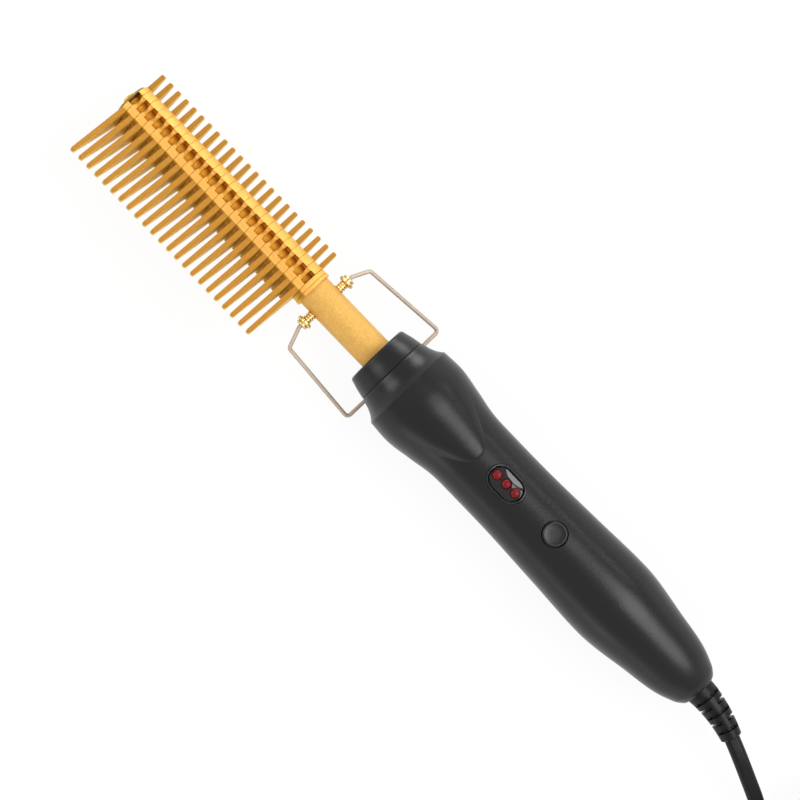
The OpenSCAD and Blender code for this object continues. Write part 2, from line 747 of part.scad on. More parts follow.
// Raised tongue behind the ridge, on the upper or the lower side
module tongue(side) {
    low_r = waist_r - shell_wall / 2;
    intersection() {
        half_turned([
            [low_r, belly], [belly_r, belly], [waist_r + tongue_h + 1.35, belly + 14],
            [waist_r + tongue_h, tongue_back], [low_r, tongue_back]
        ], side);
        post(tongue_arc, belly, tongue_off, -2 * belly_r, 2 * belly_r);
        post(tongue_arc, belly, -tongue_off, -2 * belly_r, 2 * belly_r);
    }
}

module upper_shell() {
    color("dimgray") difference() {
        union() {
            half_turned(shell_outline(), 1);
            tongue(1);
            intersection() {
                union() {
                    for (p = screw_places) post(screw_boss_r, p[0], p[1], 0, belly_r);
                    post(guide_r, button_s, 0, guide_low, belly_r);
                }
                wall_middle();
            }
        }
        for (p = screw_places)
            post(shell_screw_r + thread_gap, p[0], p[1], -1, screw_seat + shell_screw_l + 1);
        post(button_r + slip, button_s, 0, 0, 2 * belly_r);
        post(button_r + button_groove, button_s, 0, grip_r(button_s) - 1, 2 * belly_r);
        stadium(window_mid, window_l / 2 - ledge_w, window_w / 2 - ledge_w, board_z + 3, 2 * belly_r);
        intersection() {
            stadium(window_mid, window_l / 2 + window_gap, window_w / 2 + window_gap, board_z, 2 * belly_r);
            window_skin(window_low_r, 2 * belly_r);
        }
    }
}

module lower_shell() {
    color("dimgray") difference() {
        union() {
            half_turned(shell_outline(), -1);
            tongue(-1);
            intersection() {
                union() {
                    for (p = screw_places) post(screw_boss_r, p[0], p[1], -belly_r, 0);
                    for (s = post_s) for (side = [-1, 1]) post(post_r, s, side * post_y, -belly_r, board_low);
                    for (side = [-1, 1]) post(post_r, clamp_s, side * clamp_hole_y, -belly_r, saddle_z);
                    block(clamp_s, 0, -belly_r, [clamp_l - 1, 2 * clamp_hole_y, belly_r + saddle_z]);
                }
                wall_middle();
            }
        }
        for (p = screw_places) {
            post(shell_screw_r + slip, p[0], p[1], -belly_r, 1);
            post(head_hole_r, p[0], p[1], -2 * belly_r, screw_seat);
        }
        for (s = post_s) for (side = [-1, 1])
            post(small_screw_r + thread_gap, s, side * post_y, board_z - small_screw_l - 1, board_z);
        for (side = [-1, 1])
            post(small_screw_r + thread_gap, clamp_s, side * clamp_hole_y, clamp_top - small_screw_l - 1, 1);
    }
}

module shell_screws() {
    color("silver") for (p = screw_places)
        translate([-p[0], p[1], screw_seat - eps + shell_screw_l]) rotate([180, 0, 0])
            screw(shell_screw_r, shell_screw_l, shell_screw_head_r, shell_screw_head_h);
}

// ---- controls ----

module circuit_board() {
    color("seagreen") difference() {
        block(board_mid, 0, board_low, [board_back - board_front, board_w, board_t]);
        for (s = post_s) for (side = [-1, 1]) post(small_screw_r + slip, s, side * post_y, 0, board_z + 1);
    }
}

// Screws of the circuit board and of the cord clamp
module small_screws() {
    places = concat(
        [for (s = post_s) for (side = [-1, 1]) [s, side * post_y, board_z + eps]],
        [for (side = [-1, 1]) [clamp_s, side * clamp_hole_y, clamp_top + eps]]
    );
    color("silver") for (p = places) translate([-p[0], p[1], p[2] - small_screw_l])
        screw(small_screw_r, small_screw_l, small_screw_head_r, small_screw_head_h);
}

module control_chip() {
    chip_s = (window_front + window_l + button_s) / 2;
    color("black") {
        block(chip_s, 0, board_z + 0.2, [6, 4, 1.4]);
        for (i = [-1.5:1:1.5]) for (side = [-1, 1])
            block(chip_s + i * 1.27, side * 2.4, board_z, [0.4, 1.2, 0.7]);
    }
}

module triac() {
    triac_s = button_s + 11;
    color("black") difference() {
        post(2.4, triac_s, -5, board_z, board_z + 5);
        block(triac_s, -5 - 2.4, board_z - 1, [6, 2, 8]);
    }
}

module film_capacitor() {
    color("gold") block(button_s + 13, 3, board_low - 9, [13, 6, 9]);
}

module led_seat() {
    color("white") difference() {
        block(window_mid, 0, board_z, [led_row + 5.2, 5.2, led_seat_h]);
        for (i = [0:led_count - 1])
            post(led_d / 2 - 0.6, led_s(i), 0, board_z - 1, led_base + 1);
    }
}

module led_lamps() {
    color("firebrick") for (i = [0:led_count - 1])
        translate([-led_s(i), 0, 0]) rotate_extrude($fn = 32) polygon(concat(
            [[0, led_base], [led_d / 2 + 0.3, led_base], [led_d / 2 + 0.3, led_base + 0.8],
             [led_d / 2, led_base + 0.8]],
            [for (a = [0:15:90]) [led_d / 2 * cos(a), led_top - 0.8 + 0.8 * sin(a)]]
        ));
}

// Ring between two radii over the window's length, as a trim for the curved window
module window_skin(low_r, high_r) {
    turned([
        [low_r, window_front - 1], [high_r, window_front - 1],
        [high_r, window_front + window_l + 1], [low_r, window_front + window_l + 1]
    ]);
}

module light_window() {
    inset = bezel_w + joint_gap / 2;
    high = waist_r - 0.1;
    color("black") difference() {
        intersection() {
            stadium(window_mid, window_l / 2 - inset, window_w / 2 - inset, board_z, 2 * belly_r);
            window_skin(window_low_r + eps, high);
        }
        for (i = [0:led_count - 1])
            post(led_d / 2 + slip, led_s(i), 0, board_z, 2 * belly_r);
    }
}

module window_bezel() {
    color("gray") difference() {
        intersection() {
            stadium(window_mid, window_l / 2, window_w / 2, board_z, 2 * belly_r);
            window_skin(window_low_r + eps, waist_r + 0.1);
        }
        stadium(window_mid, window_l / 2 - bezel_w, window_w / 2 - bezel_w, board_z - 1, 2 * belly_r + 1);
    }
}

module switch_housing() {
    color("black") difference() {
        block(button_s, 0, board_z, [switch_w, switch_w, switch_h]);
        post(plunger_r + slip, button_s, 0, board_z + 1, board_z + switch_h + 1);
    }
}

module switch_plunger() {
    color("white") post(plunger_r, button_s, 0, board_z + 1 + plunger_room, plunger_top);
}

module power_button() {
    crown = 0.5;
    flange_top = guide_low - joint_gap / 2;
    color("black") translate([-button_s, 0, 0]) rotate_extrude() polygon([
        [0, plunger_top + eps], [1.5, plunger_top + eps], [1.5, flange_top - button_flange_t],
        [button_flange_r, flange_top - button_flange_t], [button_flange_r, flange_top],
        [button_r, flange_top], [button_r, button_top - crown],
        [button_r - 0.15, button_top - crown * 0.6], [button_r - 0.6, button_top - crown * 0.3],
        [button_r * 0.5, button_top - crown * 0.06], [0, button_top]
    ]);
}

// ---- safety and supply ----

// Fuse in line with a heater lead, just behind the barrel's seat
module thermal_fuse() {
    color("silver") {
        rod(1.7, cavity_front + 2, cavity_front + 12, 4.2, -0.6);
        rod(0.4, cavity_front - 1, cavity_front + 17, 4.2, -0.6);
    }
}

module cord_clamp() {
    color("ivory") difference() {
        block(clamp_s, 0, lead_t / 2 + eps, [clamp_l, 2 * clamp_half, clamp_t]);
        for (side = [-1, 1]) post(small_screw_r + slip, clamp_s, side * clamp_hole_y, 0, lead_t + clamp_t);
    }
}

// Stripped end of the mains lead inside the grip, with its two cores run to the board
module supply_leads() {
    color("black") hull() for (side = [-1, 1])
        rod(lead_t / 2, inner_lead_front, relief_inner, side * (lead_w - lead_t) / 2);
    core_y = screw_boss_r + 1.6;
    color("sienna") for (side = [-1, 1]) {
        route = [
            [inner_lead_front + 1, side * 1.2, 0], [inner_lead_front - 4.5, side * (core_y - 0.4), 0],
            [inner_lead_front - 12, side * core_y, 0], [board_back + 8, side * core_y, 0],
            [board_back - 1, side * 4, board_low - 1.4], [board_back - 4, side * 4, board_low - 0.8]
        ];
        swept(to_x(route), even(route, 0.8, 0.8), 8);
    }
}

// Strain relief: a flange inside the grip, then a bent, ribbed sleeve that narrows to the lead
module strain_relief() {
    ribs = 5;
    neck = 0.2;
    groove = 0.9;
    step = (1 - neck) / ribs;
    shares = concat([0, neck], [for (i = [0:ribs - 1]) for (q = [0.02, 0.4, 0.42, 1]) neck + (i + q) * step]);
    deep = concat([0, 0], [for (i = [0:ribs - 1]) for (q = [1, 1, 0, 0]) q]);
    route = [for (share = shares) relief_at(share)];
    sizes = [for (i = [0:len(shares) - 1])
        let (r = relief_r - slip + (relief_end_r + slip - relief_r) * shares[i] - groove * deep[i]) [r, r]];
    color("black") {
        rod(relief_r - slip, grip_end - rear_wall - 2 * joint_gap, grip_end + eps);
        rod(relief_flange_r, relief_inner, relief_inner + relief_flange_t);
        swept(to_x(route), sizes, 20);
    }
}

module lead_cord() {
    color("black") swept(to_x(lead_route), even(lead_route, lead_w / 2, lead_t / 2), lead_sides);
}

module coiled_cord() {
    bevel = 1.2;
    low = tie_t;
    high = tie_t + coil_h;
    in = coil_r - coil_half;
    out = coil_r + coil_half;
    color("black") translate([-coil_s, coil_y, 0]) rotate_extrude($fn = 96) polygon([
        [in, low + bevel], [in + bevel, low], [out - bevel, low], [out, low + bevel],
        [out, high - bevel], [out - bevel, high], [in + bevel, high], [in, high - bevel]
    ]);
}

module tail_cord() {
    color("black") swept(to_x(tail_route), even(tail_route, lead_w / 2, lead_t / 2), lead_sides);
}

// Flat tie round the coil's turns
module cord_tie() {
    inner = sqrt(pow(coil_r - coil_half, 2) - pow(tie_w / 2, 2)) - joint_gap;
    outer = coil_r + coil_half + joint_gap;
    color("white") translate([-coil_s, coil_y, 0]) difference() {
        translate([-tie_w / 2, -outer - tie_t, 0])
            cube([tie_w, outer - inner + 2 * tie_t, coil_h + 2 * tie_t + joint_gap]);
        translate([-tie_w, -outer, tie_t - eps]) cube([2 * tie_w, outer - inner, coil_h + joint_gap + eps]);
    }
}

// Moulded two-pin plug, with its own short strain relief
module plug_body() {
    half = plug_w / 2;
    outline = [
        [plug_back, 6.5], [plug_back + 5, 8.4], [plug_face - 12, half - 1], [plug_face - 7, half],
        [plug_face - 1, half], [plug_face, half - 1]
    ];
    mirrored = [for (i = [len(outline) - 1:-1:0]) [outline[i][0], -outline[i][1]]];
    color("black") translate([0, plug_y, 0]) difference() {
        union() {
            translate([0, 0, plug_low]) linear_extrude(plug_h)
                polygon([for (p = concat(outline, mirrored)) [-p[0], p[1]]]);
            translate([0, 0, plug_z]) turned([
                [0, plug_back + 1], [5, plug_back + 1], [4.6, plug_back], [3.4, plug_s], [0, plug_s]
            ]);
        }
        for (side = [-1, 1])
            rod(pin_root_r + thread_gap, plug_face - pin_in, plug_face + 1, side * pin_pitch / 2, plug_z);
    }
}

module plug_pins() {
    color("silver") translate([0, plug_y, plug_z]) for (side = [-1, 1])
        translate([0, side * pin_pitch / 2, 0]) turned([
            [0, plug_face + pin_l], [pin_r - 0.5, plug_face + pin_l], [pin_r, plug_face + pin_l - 0.8],
            [pin_r, plug_face], [pin_root_r, plug_face], [pin_root_r, plug_face - pin_in],
            [0, plug_face - pin_in]
        ]);
}

for (i = [0:segment_count - 1]) on_barrel() segment(i + 1);
on_barrel() end_disc();
on_barrel() tip_screw();
on_barrel() core_tube();
on_barrel() heating_rod();
on_barrel() heater_leads();
on_barrel() thermistor();
on_barrel() comb_flange();
on_barrel() barrel();
on_barrel() stand_studs();
on_barrel() stand_wire();
on_barrel() barrel_seat();
on_barrel() nose_cap();
on_barrel() upper_shell();
on_barrel() lower_shell();
on_barrel() shell_screws();
on_barrel() small_screws();
on_barrel() circuit_board();
on_barrel() control_chip();
on_barrel() triac();
on_barrel() film_capacitor();
on_barrel() led_seat();
on_barrel() led_lamps();
on_barrel() light_window();
on_barrel() window_bezel();
on_barrel() switch_housing();
on_barrel() switch_plunger();
on_barrel() power_button();
on_barrel() thermal_fuse();
on_barrel() cord_clamp();
on_barrel() supply_leads();
on_barrel() strain_relief();
on_table() lead_cord();
on_table() coiled_cord();
on_table() tail_cord();
on_table() cord_tie();
on_table() plug_body();
on_table() plug_pins();
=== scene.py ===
"""Electric hot comb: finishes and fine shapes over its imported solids.

Stations run along the barrel from the comb's flange towards the lead, in millimetres.
"""

import math
from functools import cache

import bpy
import numpy as np
from bpy.props import FloatProperty, FloatVectorProperty, IntProperty, PointerProperty
from bpy.types import Operator, Panel, PropertyGroup
from mathutils import Matrix, Vector


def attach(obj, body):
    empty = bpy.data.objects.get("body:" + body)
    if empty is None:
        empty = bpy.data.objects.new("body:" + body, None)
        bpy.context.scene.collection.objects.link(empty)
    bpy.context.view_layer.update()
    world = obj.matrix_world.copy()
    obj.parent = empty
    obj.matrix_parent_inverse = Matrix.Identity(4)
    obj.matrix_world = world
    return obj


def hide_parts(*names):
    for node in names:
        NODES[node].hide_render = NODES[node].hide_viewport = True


bl_info = {
    "name": "Hot comb",
    "version": (1, 0, 0),
    "blender": (4, 5, 0),
    "location": "View3D > Sidebar > Hot comb",
    "description": "Dresses the hot comb's solids with their finishes and fine shapes",
    "category": "Object",
}

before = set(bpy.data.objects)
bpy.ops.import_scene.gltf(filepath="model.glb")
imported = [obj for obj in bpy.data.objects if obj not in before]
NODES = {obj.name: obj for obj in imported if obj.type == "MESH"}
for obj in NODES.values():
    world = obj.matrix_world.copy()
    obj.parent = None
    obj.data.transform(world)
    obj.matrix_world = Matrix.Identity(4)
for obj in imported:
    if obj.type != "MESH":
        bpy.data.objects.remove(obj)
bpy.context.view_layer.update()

# Place of the barrel's frame in the world, in millimetres
MID_STATION = 62.031
MID_ACROSS = 3.17681
AXIS_HEIGHT = 18.6

# Camera: focal length, distance, lean towards the long teeth, the place that it looks at, and the
# shares of the barrel's and the teeth's directions in its own sideways direction
LENS = 94.54
CAMERA_AWAY = 0.75
CAMERA_LEAN = math.radians(5)
CAMERA_STATION = 49.6
CAMERA_ASIDE = 0.00507
ALONG_SHARE = 0.694
ACROSS_SHARE = 0.72

# Soft lights: name, place and size in metres
LIGHTS = (
    ("key", (-0.43, -0.33, 0.90), 0.7),
    ("glint", (-0.10, -0.85, 0.56), 0.14),
    ("side", (-0.3, 1.0, 0.14), 0.4),
    ("low", (0.50, -0.83, 0.25), 0.5),
    ("tip", (0.60, 0.42, 0.64), 0.5),
)

# Stations and radii of the solids that the fine shapes follow
PIVOT = 6.0
STAND_END = 12.2
NOSE_FRONT = 32.0
NOSE_R = 12.7
SEAM = 40.2
RIDGE = 48.4
BELLY = 56.0
WAIST_FRONT = 82.4
WAIST_BACK = 104.4
SWELL = 152.8
GRIP_END = 197.8
SEAM_R = 14.4
RIDGE_R = 18.2
BELLY_R = 18.6
WAIST_R = 15.25
SWELL_R = 17.0
TAIL_R = 7.1
SHELL_WALL = 1.7
TONGUE_TIP = 83.7
TONGUE_ROUND = 5.0
TONGUE_ARC = 34.1
TONGUE_OFF = 17.4
WINDOW_MID = 96.6
WINDOW_HALF_L = 7.8
WINDOW_HALF_W = 5.15
BEZEL_W = 0.85
LAMP_STATIONS = (92.1, 96.6, 101.1)
LAMP_R = 1.8
BUTTON_AT = 121.0
BUTTON_R = 4.5
SCREW_WELLS = ((66.0, -9.5), (66.0, 9.5), (164.0, 0.0))
SCREW_WELL_R = 2.85
RELIEF_SLOTS = (201.7, 205.0, 208.3, 211.6, 214.9)
JOINT_GAP = 0.1
LEAD_W = 5.8
LEAD_T = 3.8
COIL_AT = (299.0, 3.2)
COIL_R = 31.0
COIL_START = 120.65
TIE_T = 0.6
PLUG_ACROSS = 23.2
PLUG_UP = 18.95
PLUG_FACE = 327.0
PLUG_END = 279.0
TAIL_BEND_R = 22.0
TAIL_STRAIGHT = 1.6

FLARE_POINTS = [
    (SEAM, SEAM_R), (43.89, 15.426), (46.596, 16.756), (RIDGE, RIDGE_R),
]
GRIP_POINTS = [
    (RIDGE, RIDGE_R), (BELLY, BELLY_R), (67.0, 17.0925), (75.4, 15.6185), (WAIST_FRONT, WAIST_R),
    (WAIST_BACK, 15.3), (128.6, 16.125), (SWELL, SWELL_R), (176.0, 14.03), (187.4, 12.1),
    (194.8, 9.4), (197.0, 7.9), (GRIP_END, TAIL_R),
]
RELIEF_ACROSS = [(0, 0), (0.17, 0), (0.36, 0.35), (0.58, 1.05), (0.79, 2.1), (1, 3.4)]
RELIEF_RISE = [(0, 0), (0.17, 0), (0.36, 0), (0.58, -0.1), (0.79, -0.25), (1, -0.5)]
RELIEF_LENGTH = 20.7
TONGUE_TOP = [
    (BELLY, BELLY_R), (58, 18.54), (60, 18.42), (62, 18.24), (64, 18.04), (67, 17.77), (70, 17.5),
    (74, 17.1), (77, 16.75), (80, 16.3), (82, 15.95), (TONGUE_TIP, 15.65),
]

# Stretches of the grip's skin, as first station, last station and count of rings
SKIN_SPANS = (
    (SEAM, SEAM + 0.35, 3), (41.0, 47.4, 9), (47.8, 49.2, 8), (49.8, BELLY, 8), (56.6, 86.6, 61),
    (87.4, 190, 104), (190.8, 197.0, 16), (197.15, GRIP_END, 6),
)

# Free lead, as (station, across, height above the table)
LEAD_ROUTE = [
    (218.5, 3.4, 18.1), (226, 6.2, 17), (234, 9.2, 14.7), (242, 12.2, 11.8), (249, 15.5, 8.5),
    (255, 18.9, 5.4), (261, 22.5, 3.3), (267, 26.3, 2.6), (271, 28.9, 2.5),
]


# ---- sizes and colours that a user may change ----


def colour(name, about, value):
    """Colour that a user may change."""
    return FloatVectorProperty(
        name=name, description=about, subtype="COLOR", size=3, min=0, max=1, default=value,
    )


def distance(name, about, value, most, least=0.0):
    """Length that a user may change, in metres."""
    return FloatProperty(
        name=name, description=about, subtype="DISTANCE", unit="LENGTH", min=least, max=most,
        default=value,
    )


def power(name, about, value):
    """Power of a light that a user may change, in watts."""
    return FloatProperty(
        name=name, description=about, subtype="POWER", unit="POWER", min=0, max=200, default=value,
    )


class CombSettings(PropertyGroup):
    """Finish of the comb and of the barrel."""

    gold: colour("Gold", "Colour of the cast comb", (0.88, 0.475, 0.105))
    # Painted shade: a darker gold that stands in for the shade in the casting's hollows, fading out
    # between the two distances below
    hollow_shade_gold: colour("Hollow shade gold", "Colour in the hollows of the casting", (0.60, 0.30, 0.04))
    shade_near: distance(
        "Hollow near", "Distance from the axis within which the gold is deepest", 0.0056, 0.01,
    )
    shade_far: distance(
        "Hollow far", "Distance from the axis at which the deeper gold ends", 0.0064, 0.01,
    )
    # Painted shade: the teeth get a deeper gold than the back, standing in for the lesser light that
    # falls on them
    teeth_shade_gold: colour("Teeth", "Colour of the teeth, deeper than the back", (0.43, 0.195, 0.022))
    # Painted light: the steep flanks of the teeth get a lighter gold, standing in for light that
    # reaches them
    flank_light_gold: colour("Painted flank light", "Painted light on the teeth's flanks", (0.76, 0.50, 0.085))
    core_gold: colour("Core", "Colour of the tube that shows in the pockets", (0.84, 0.45, 0.04))
    barrel_gold: colour("Barrel gold", "Colour of the bare tube", (0.76, 0.44, 0.105))
    edge_round: distance("Edge rounding", "Radius of the casting's edges", 0.0001, 0.0004)


class GripSettings(PropertyGroup):
    """Finish of the grip and its controls."""

    plastic: colour("Plastic", "Colour of the grip", (0.006, 0.006, 0.0065))
    lamp: colour("Lamps", "Colour of the indicator lamps", (0.17, 0.005, 0.008))
    grain: distance("Grain", "Depth of the moulded grain", 0.00003, 0.0002)


class LeadSettings(PropertyGroup):
    """Sizes of the flat mains lead."""

    width: distance("Width", "Width of the flat lead", LEAD_W / 1000, 0.0062, 0.005)
    thickness: distance("Thickness", "Thickness of the flat lead", LEAD_T / 1000, 0.004, 0.003)
    turn_steps: IntProperty(
        name="Steps in a turn", description="Points along one turn of the coil",
        min=24, max=120, default=60,
    )


class StageSettings(PropertyGroup):
    """Lights and floor."""

    key_power: power("Key light", "Power of the large soft light", 5.8)
    glint_power: power("Glint light", "Power of the small light that the window reflects", 0.3)
    side_power: power("Side light", "Power of the low light beyond the long teeth", 0.4)
    low_power: power("Low light", "Power of the low light beside the short teeth", 3.2)
    tip_power: power("Tip light", "Power of the light beyond the tip", 2.2)
    sky: FloatProperty(
        name="Sky", description="Level of the even light from all sides", min=0, max=2, default=0.9,
    )
    horizon: FloatProperty(
        name="Horizon", description="How much brighter the even light is at the horizon",
        min=1, max=4, default=1.9,
    )
    floor_shadow: FloatProperty(
        name="Floor shadow", description="Share of the floor's own shading that shows",
        subtype="FACTOR", min=0, max=1, default=0.08,
    )


def settings(name):
    """One of the scene's setting groups."""
    return getattr(bpy.context.scene, name)


# ---- places ----


def to_world(points):
    """World points of an array of (station, across, above the axis), in millimetres."""
    turned_round = np.asarray(points, float) * (-1, 1, 1)
    return (turned_round + (MID_STATION, -MID_ACROSS, AXIS_HEIGHT)) / 1000


def at(station, across=0.0, above=0.0):
    """World point, in metres, of a place that is counted from the barrel's axis."""
    return Vector(to_world((station, across, above)))


def curve_at(s, points):
    """Height at s of the smooth curve through the points."""
    last = len(points) - 1

    def slope(i):
        a, b = max(i - 1, 0), min(i + 1, last)
        before, here, after = points[a][1], points[i][1], points[b][1]
        if (here - before) * (after - here) < 0:
            return 0.0
        return (after - before) / (points[b][0] - points[a][0])

    i = 0
    while i < last - 1 and s >= points[i + 1][0]:
        i += 1
    step = points[i + 1][0] - points[i][0]
    t = (s - points[i][0]) / step
    return (
        points[i][1] * (2 * t**3 - 3 * t**2 + 1) + step * slope(i) * (t**3 - 2 * t**2 + t)
        + points[i + 1][1] * (3 * t**2 - 2 * t**3) + step * slope(i + 1) * (t**3 - t**2)
    )


def grip_r(s):
    """Radius of the grip at a station."""
    return curve_at(s, FLARE_POINTS if s < RIDGE else GRIP_POINTS)


def smooth(t):
    """Soft step from 0 to 1."""
    t = np.clip(t, 0, 1)
    return t * t * (3 - 2 * t)


# ---- meshes ----


def placed(name, data):
    """New object in the scene."""
    piece = bpy.data.objects.new(name, data)
    bpy.context.scene.collection.objects.link(piece)
    return piece


def solid(name, verts, faces):
    """New object from world points and faces."""
    mesh = bpy.data.meshes.new(name)
    mesh.from_pydata([tuple(v) for v in np.asarray(verts, float).reshape(-1, 3)], [], faces)
    mesh.validate()
    return placed(name, mesh)


def put(name, verts, faces, finish, body="grip", crease=35):
    """New piece with a finish, riding on a body."""
    piece = solid(name, verts, faces)
    piece.data.materials.append(finish)
    face_outward(piece.data)
    soften(piece.data, crease)
    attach(piece, body)
    return piece


def face_outward(mesh):
    """Turns a closed mesh's faces so that they all look outward."""
    import bmesh

    bm = bmesh.new()
    bm.from_mesh(mesh)
    bmesh.ops.recalc_face_normals(bm, faces=bm.faces)
    bm.to_mesh(mesh)
    bm.free()


def soften(mesh, crease=35):
    """Smooth shading, sharp where two faces meet at more than the crease angle."""
    mesh.shade_smooth()
    mesh.set_sharp_from_angle(angle=math.radians(crease))


def ring_faces(rings, count, closed=True, looped=False):
    """Faces of a tube whose rings have count points each.

    closed fills its two ends, and looped joins its last ring to its first.
    """
    pairs = [(i * count, (i + 1) * count) for i in range(rings - 1)]
    if looped:
        pairs.append(((rings - 1) * count, 0))
    faces = []
    for a, b in pairs:
        for k in range(count):
            m = (k + 1) % count
            faces.append((a + k, b + k, b + m, a + m))
    if closed:
        faces.append(tuple(range(count)))
        faces.append(tuple(range((rings - 1) * count, rings * count))[::-1])
    return faces


def tube(name, rings, finish, closed=True, looped=False, **more):
    """New piece whose world points stand in rings."""
    return put(name, rings, ring_faces(*rings.shape[:2], closed, looped), finish, **more)


def circle(turns):
    """Points round a circle of radius 1."""
    return [(math.cos(a), math.sin(a)) for a in np.arange(turns) * 2 * math.pi / turns]


def turned(name, outline, places, turns, finish, closed=True, **more):
    """Piece of equal turned bodies from (radius, height) points, one body for each place.

    A place is a function that takes two offsets from the axis and a height to
    (station, across, above).
    """
    verts, faces = [], []
    for place in places:
        start = len(verts)
        verts += [place(r * c, r * d, h) for r, h in outline for c, d in circle(turns)]
        faces += [tuple(start + i for i in f) for f in ring_faces(len(outline), turns, closed)]
    return put(name, to_world(verts), faces, finish, **more)


def swept(path, sections, over=(0.0, 0.0, 1.0)):
    """Points of a tube along a world path, from one section or from one for each point.

    A section is (sideways, upward) offsets, and over is the direction that is up.
    """
    t = np.gradient(path, axis=0)
    t /= np.linalg.norm(t, axis=1)[:, None]
    side = np.cross(over, t)
    side /= np.linalg.norm(side, axis=1)[:, None]
    up = np.cross(t, side)
    return path[:, None] + sections[..., 0:1] * side[:, None] + sections[..., 1:2] * up[:, None]


def spline(points, step):
    """Even points along a smooth curve through the given ones."""
    p = np.asarray(points, float)
    p = np.vstack([2 * p[0] - p[1], p, 2 * p[-1] - p[-2]])
    fine = []
    for i in range(1, len(p) - 2):
        a, b, c, d = p[i - 1], p[i], p[i + 1], p[i + 2]
        for t in np.linspace(0, 1, 24, endpoint=False):
            fine.append(0.5 * (
                2 * b + (c - a) * t + (2 * a - 5 * b + 4 * c - d) * t**2
                + (3 * b - a - 3 * c + d) * t**3
            ))
    fine = np.array([*fine, p[-2]])
    gone = np.concatenate([[0], np.cumsum(np.linalg.norm(np.diff(fine, axis=0), axis=1))])
    want = np.linspace(0, gone[-1], int(round(gone[-1] / step)) + 1)
    return np.stack([np.interp(want, gone, fine[:, k]) for k in range(3)], axis=1)


def carve(piece, cutters):
    """Cuts the cutters out of a piece and removes them."""
    for cutter in cutters:
        cut = piece.modifiers.new("cut", "BOOLEAN")
        cut.operation = "DIFFERENCE"
        cut.solver = "EXACT"
        cut.object = cutter
    bpy.context.view_layer.update()
    graph = bpy.context.evaluated_depsgraph_get()
    mesh = bpy.data.meshes.new_from_object(piece.evaluated_get(graph))
    piece.modifiers.clear()
    old = piece.data
    mesh.name = old.name + "_cut"
    piece.data = mesh
    bpy.data.meshes.remove(old)
    for cutter in cutters:
        bpy.data.objects.remove(cutter)


def cutter(rings):
    """A closed body, from rings of places, that is only there to cut another."""
    rings = to_world(rings)
    piece = solid("cutter", rings, ring_faces(*rings.shape[:2]))
    face_outward(piece.data)
    return piece


def stadium(half_l, half_w, steps=16):
    """Points round a flat shape with round ends, as (along, across)."""
    r, straight = half_w, half_l - half_w
    arc = np.linspace(-math.pi / 2, math.pi / 2, steps)
    ends = [(straight + r * math.cos(a), r * math.sin(a)) for a in arc]
    return ends + [(-x, -y) for x, y in ends]


def stadium_cutter(station, half_l, half_w, levels):
    """Upright cutter with round ends from (height, widening) levels."""
    return cutter([
        [[station + x, y, z] for x, y in stadium(half_l + wider, half_w + wider)]
        for z, wider in levels
    ])


def post_cutter(station, across, r, low, high):
    """Upright round cutter."""
    return cutter([
        [[station + r * c, across + r * d, z] for c, d in circle(64)] for z in (low, high)
    ])


# ---- shared effects ----


class Wiring:
    """Short way to add nodes to a tree and to join them."""

    def __init__(self, tree):
        self.tree = tree

    def add(self, kind, **values):
        node = self.tree.nodes.new(kind)
        for key, value in values.items():
            setattr(node, key, value)
        return node

    def join(self, out, into):
        self.tree.links.new(out, into)

    def feed(self, socket, value):
        """A socket's value, or a link where the value is another socket."""
        if isinstance(value, bpy.types.NodeSocket):
            self.join(value, socket)
        else:
            socket.default_value = value

    def maths(self, operation, a, b):
        node = self.add("ShaderNodeMath", operation=operation)
        self.feed(node.inputs[0], a)
        self.feed(node.inputs[1], b)
        return node.outputs[0]

    def vector(self, operation, a, b):
        node = self.add("ShaderNodeVectorMath", operation=operation)
        self.feed(node.inputs[0], a)
        self.feed(node.inputs[1], b)
        return node

    def part(self, vector, i):
        """One of the three numbers of a place or a direction."""
        apart = self.add("ShaderNodeSeparateXYZ")
        self.join(vector, apart.inputs[0])
        return apart.outputs[i]

    def noise(self, where, scale, detail=3.0, roughness=0.55):
        node = self.add("ShaderNodeTexNoise")
        self.feed(node.inputs["Vector"], where)
        self.feed(node.inputs["Scale"], scale)
        self.feed(node.inputs["Detail"], detail)
        self.feed(node.inputs["Roughness"], roughness)
        return node.outputs["Fac"]

    def spread(self, value, low, high, to_low=0.0, to_high=1.0):
        node = self.add("ShaderNodeMapRange", interpolation_type="SMOOTHSTEP")
        self.feed(node.inputs["Value"], value)
        for i, number in enumerate((low, high, to_low, to_high)):
            self.feed(node.inputs[i + 1], number)
        return node.outputs["Result"]

    def blend(self, share, a, b, kind="MIX"):
        node = self.add("ShaderNodeMix", data_type="RGBA", blend_type=kind)
        self.feed(node.inputs[0], share)
        self.feed(node.inputs[6], a)
        self.feed(node.inputs[7], b)
        return node.outputs[2]


def effect(name, outputs, **inputs):
    """New group of nodes that is given a place and inputs: its wiring, its inputs and its outputs."""
    tree = bpy.data.node_groups.new(name, "ShaderNodeTree")
    sockets = tree.interface
    sockets.new_socket(name="Place", in_out="INPUT", socket_type="NodeSocketVector")
    for label, value in inputs.items():
        kind = "NodeSocketColor" if isinstance(value, tuple) else "NodeSocketFloat"
        sockets.new_socket(name=label.title(), in_out="INPUT", socket_type=kind).default_value = value
    for label in outputs:
        kind = "NodeSocketColor" if label == "Color" else "NodeSocketFloat"
        sockets.new_socket(name=label, in_out="OUTPUT", socket_type=kind)
    w = Wiring(tree)
    return w, w.add("NodeGroupInput").outputs, w.add("NodeGroupOutput").inputs


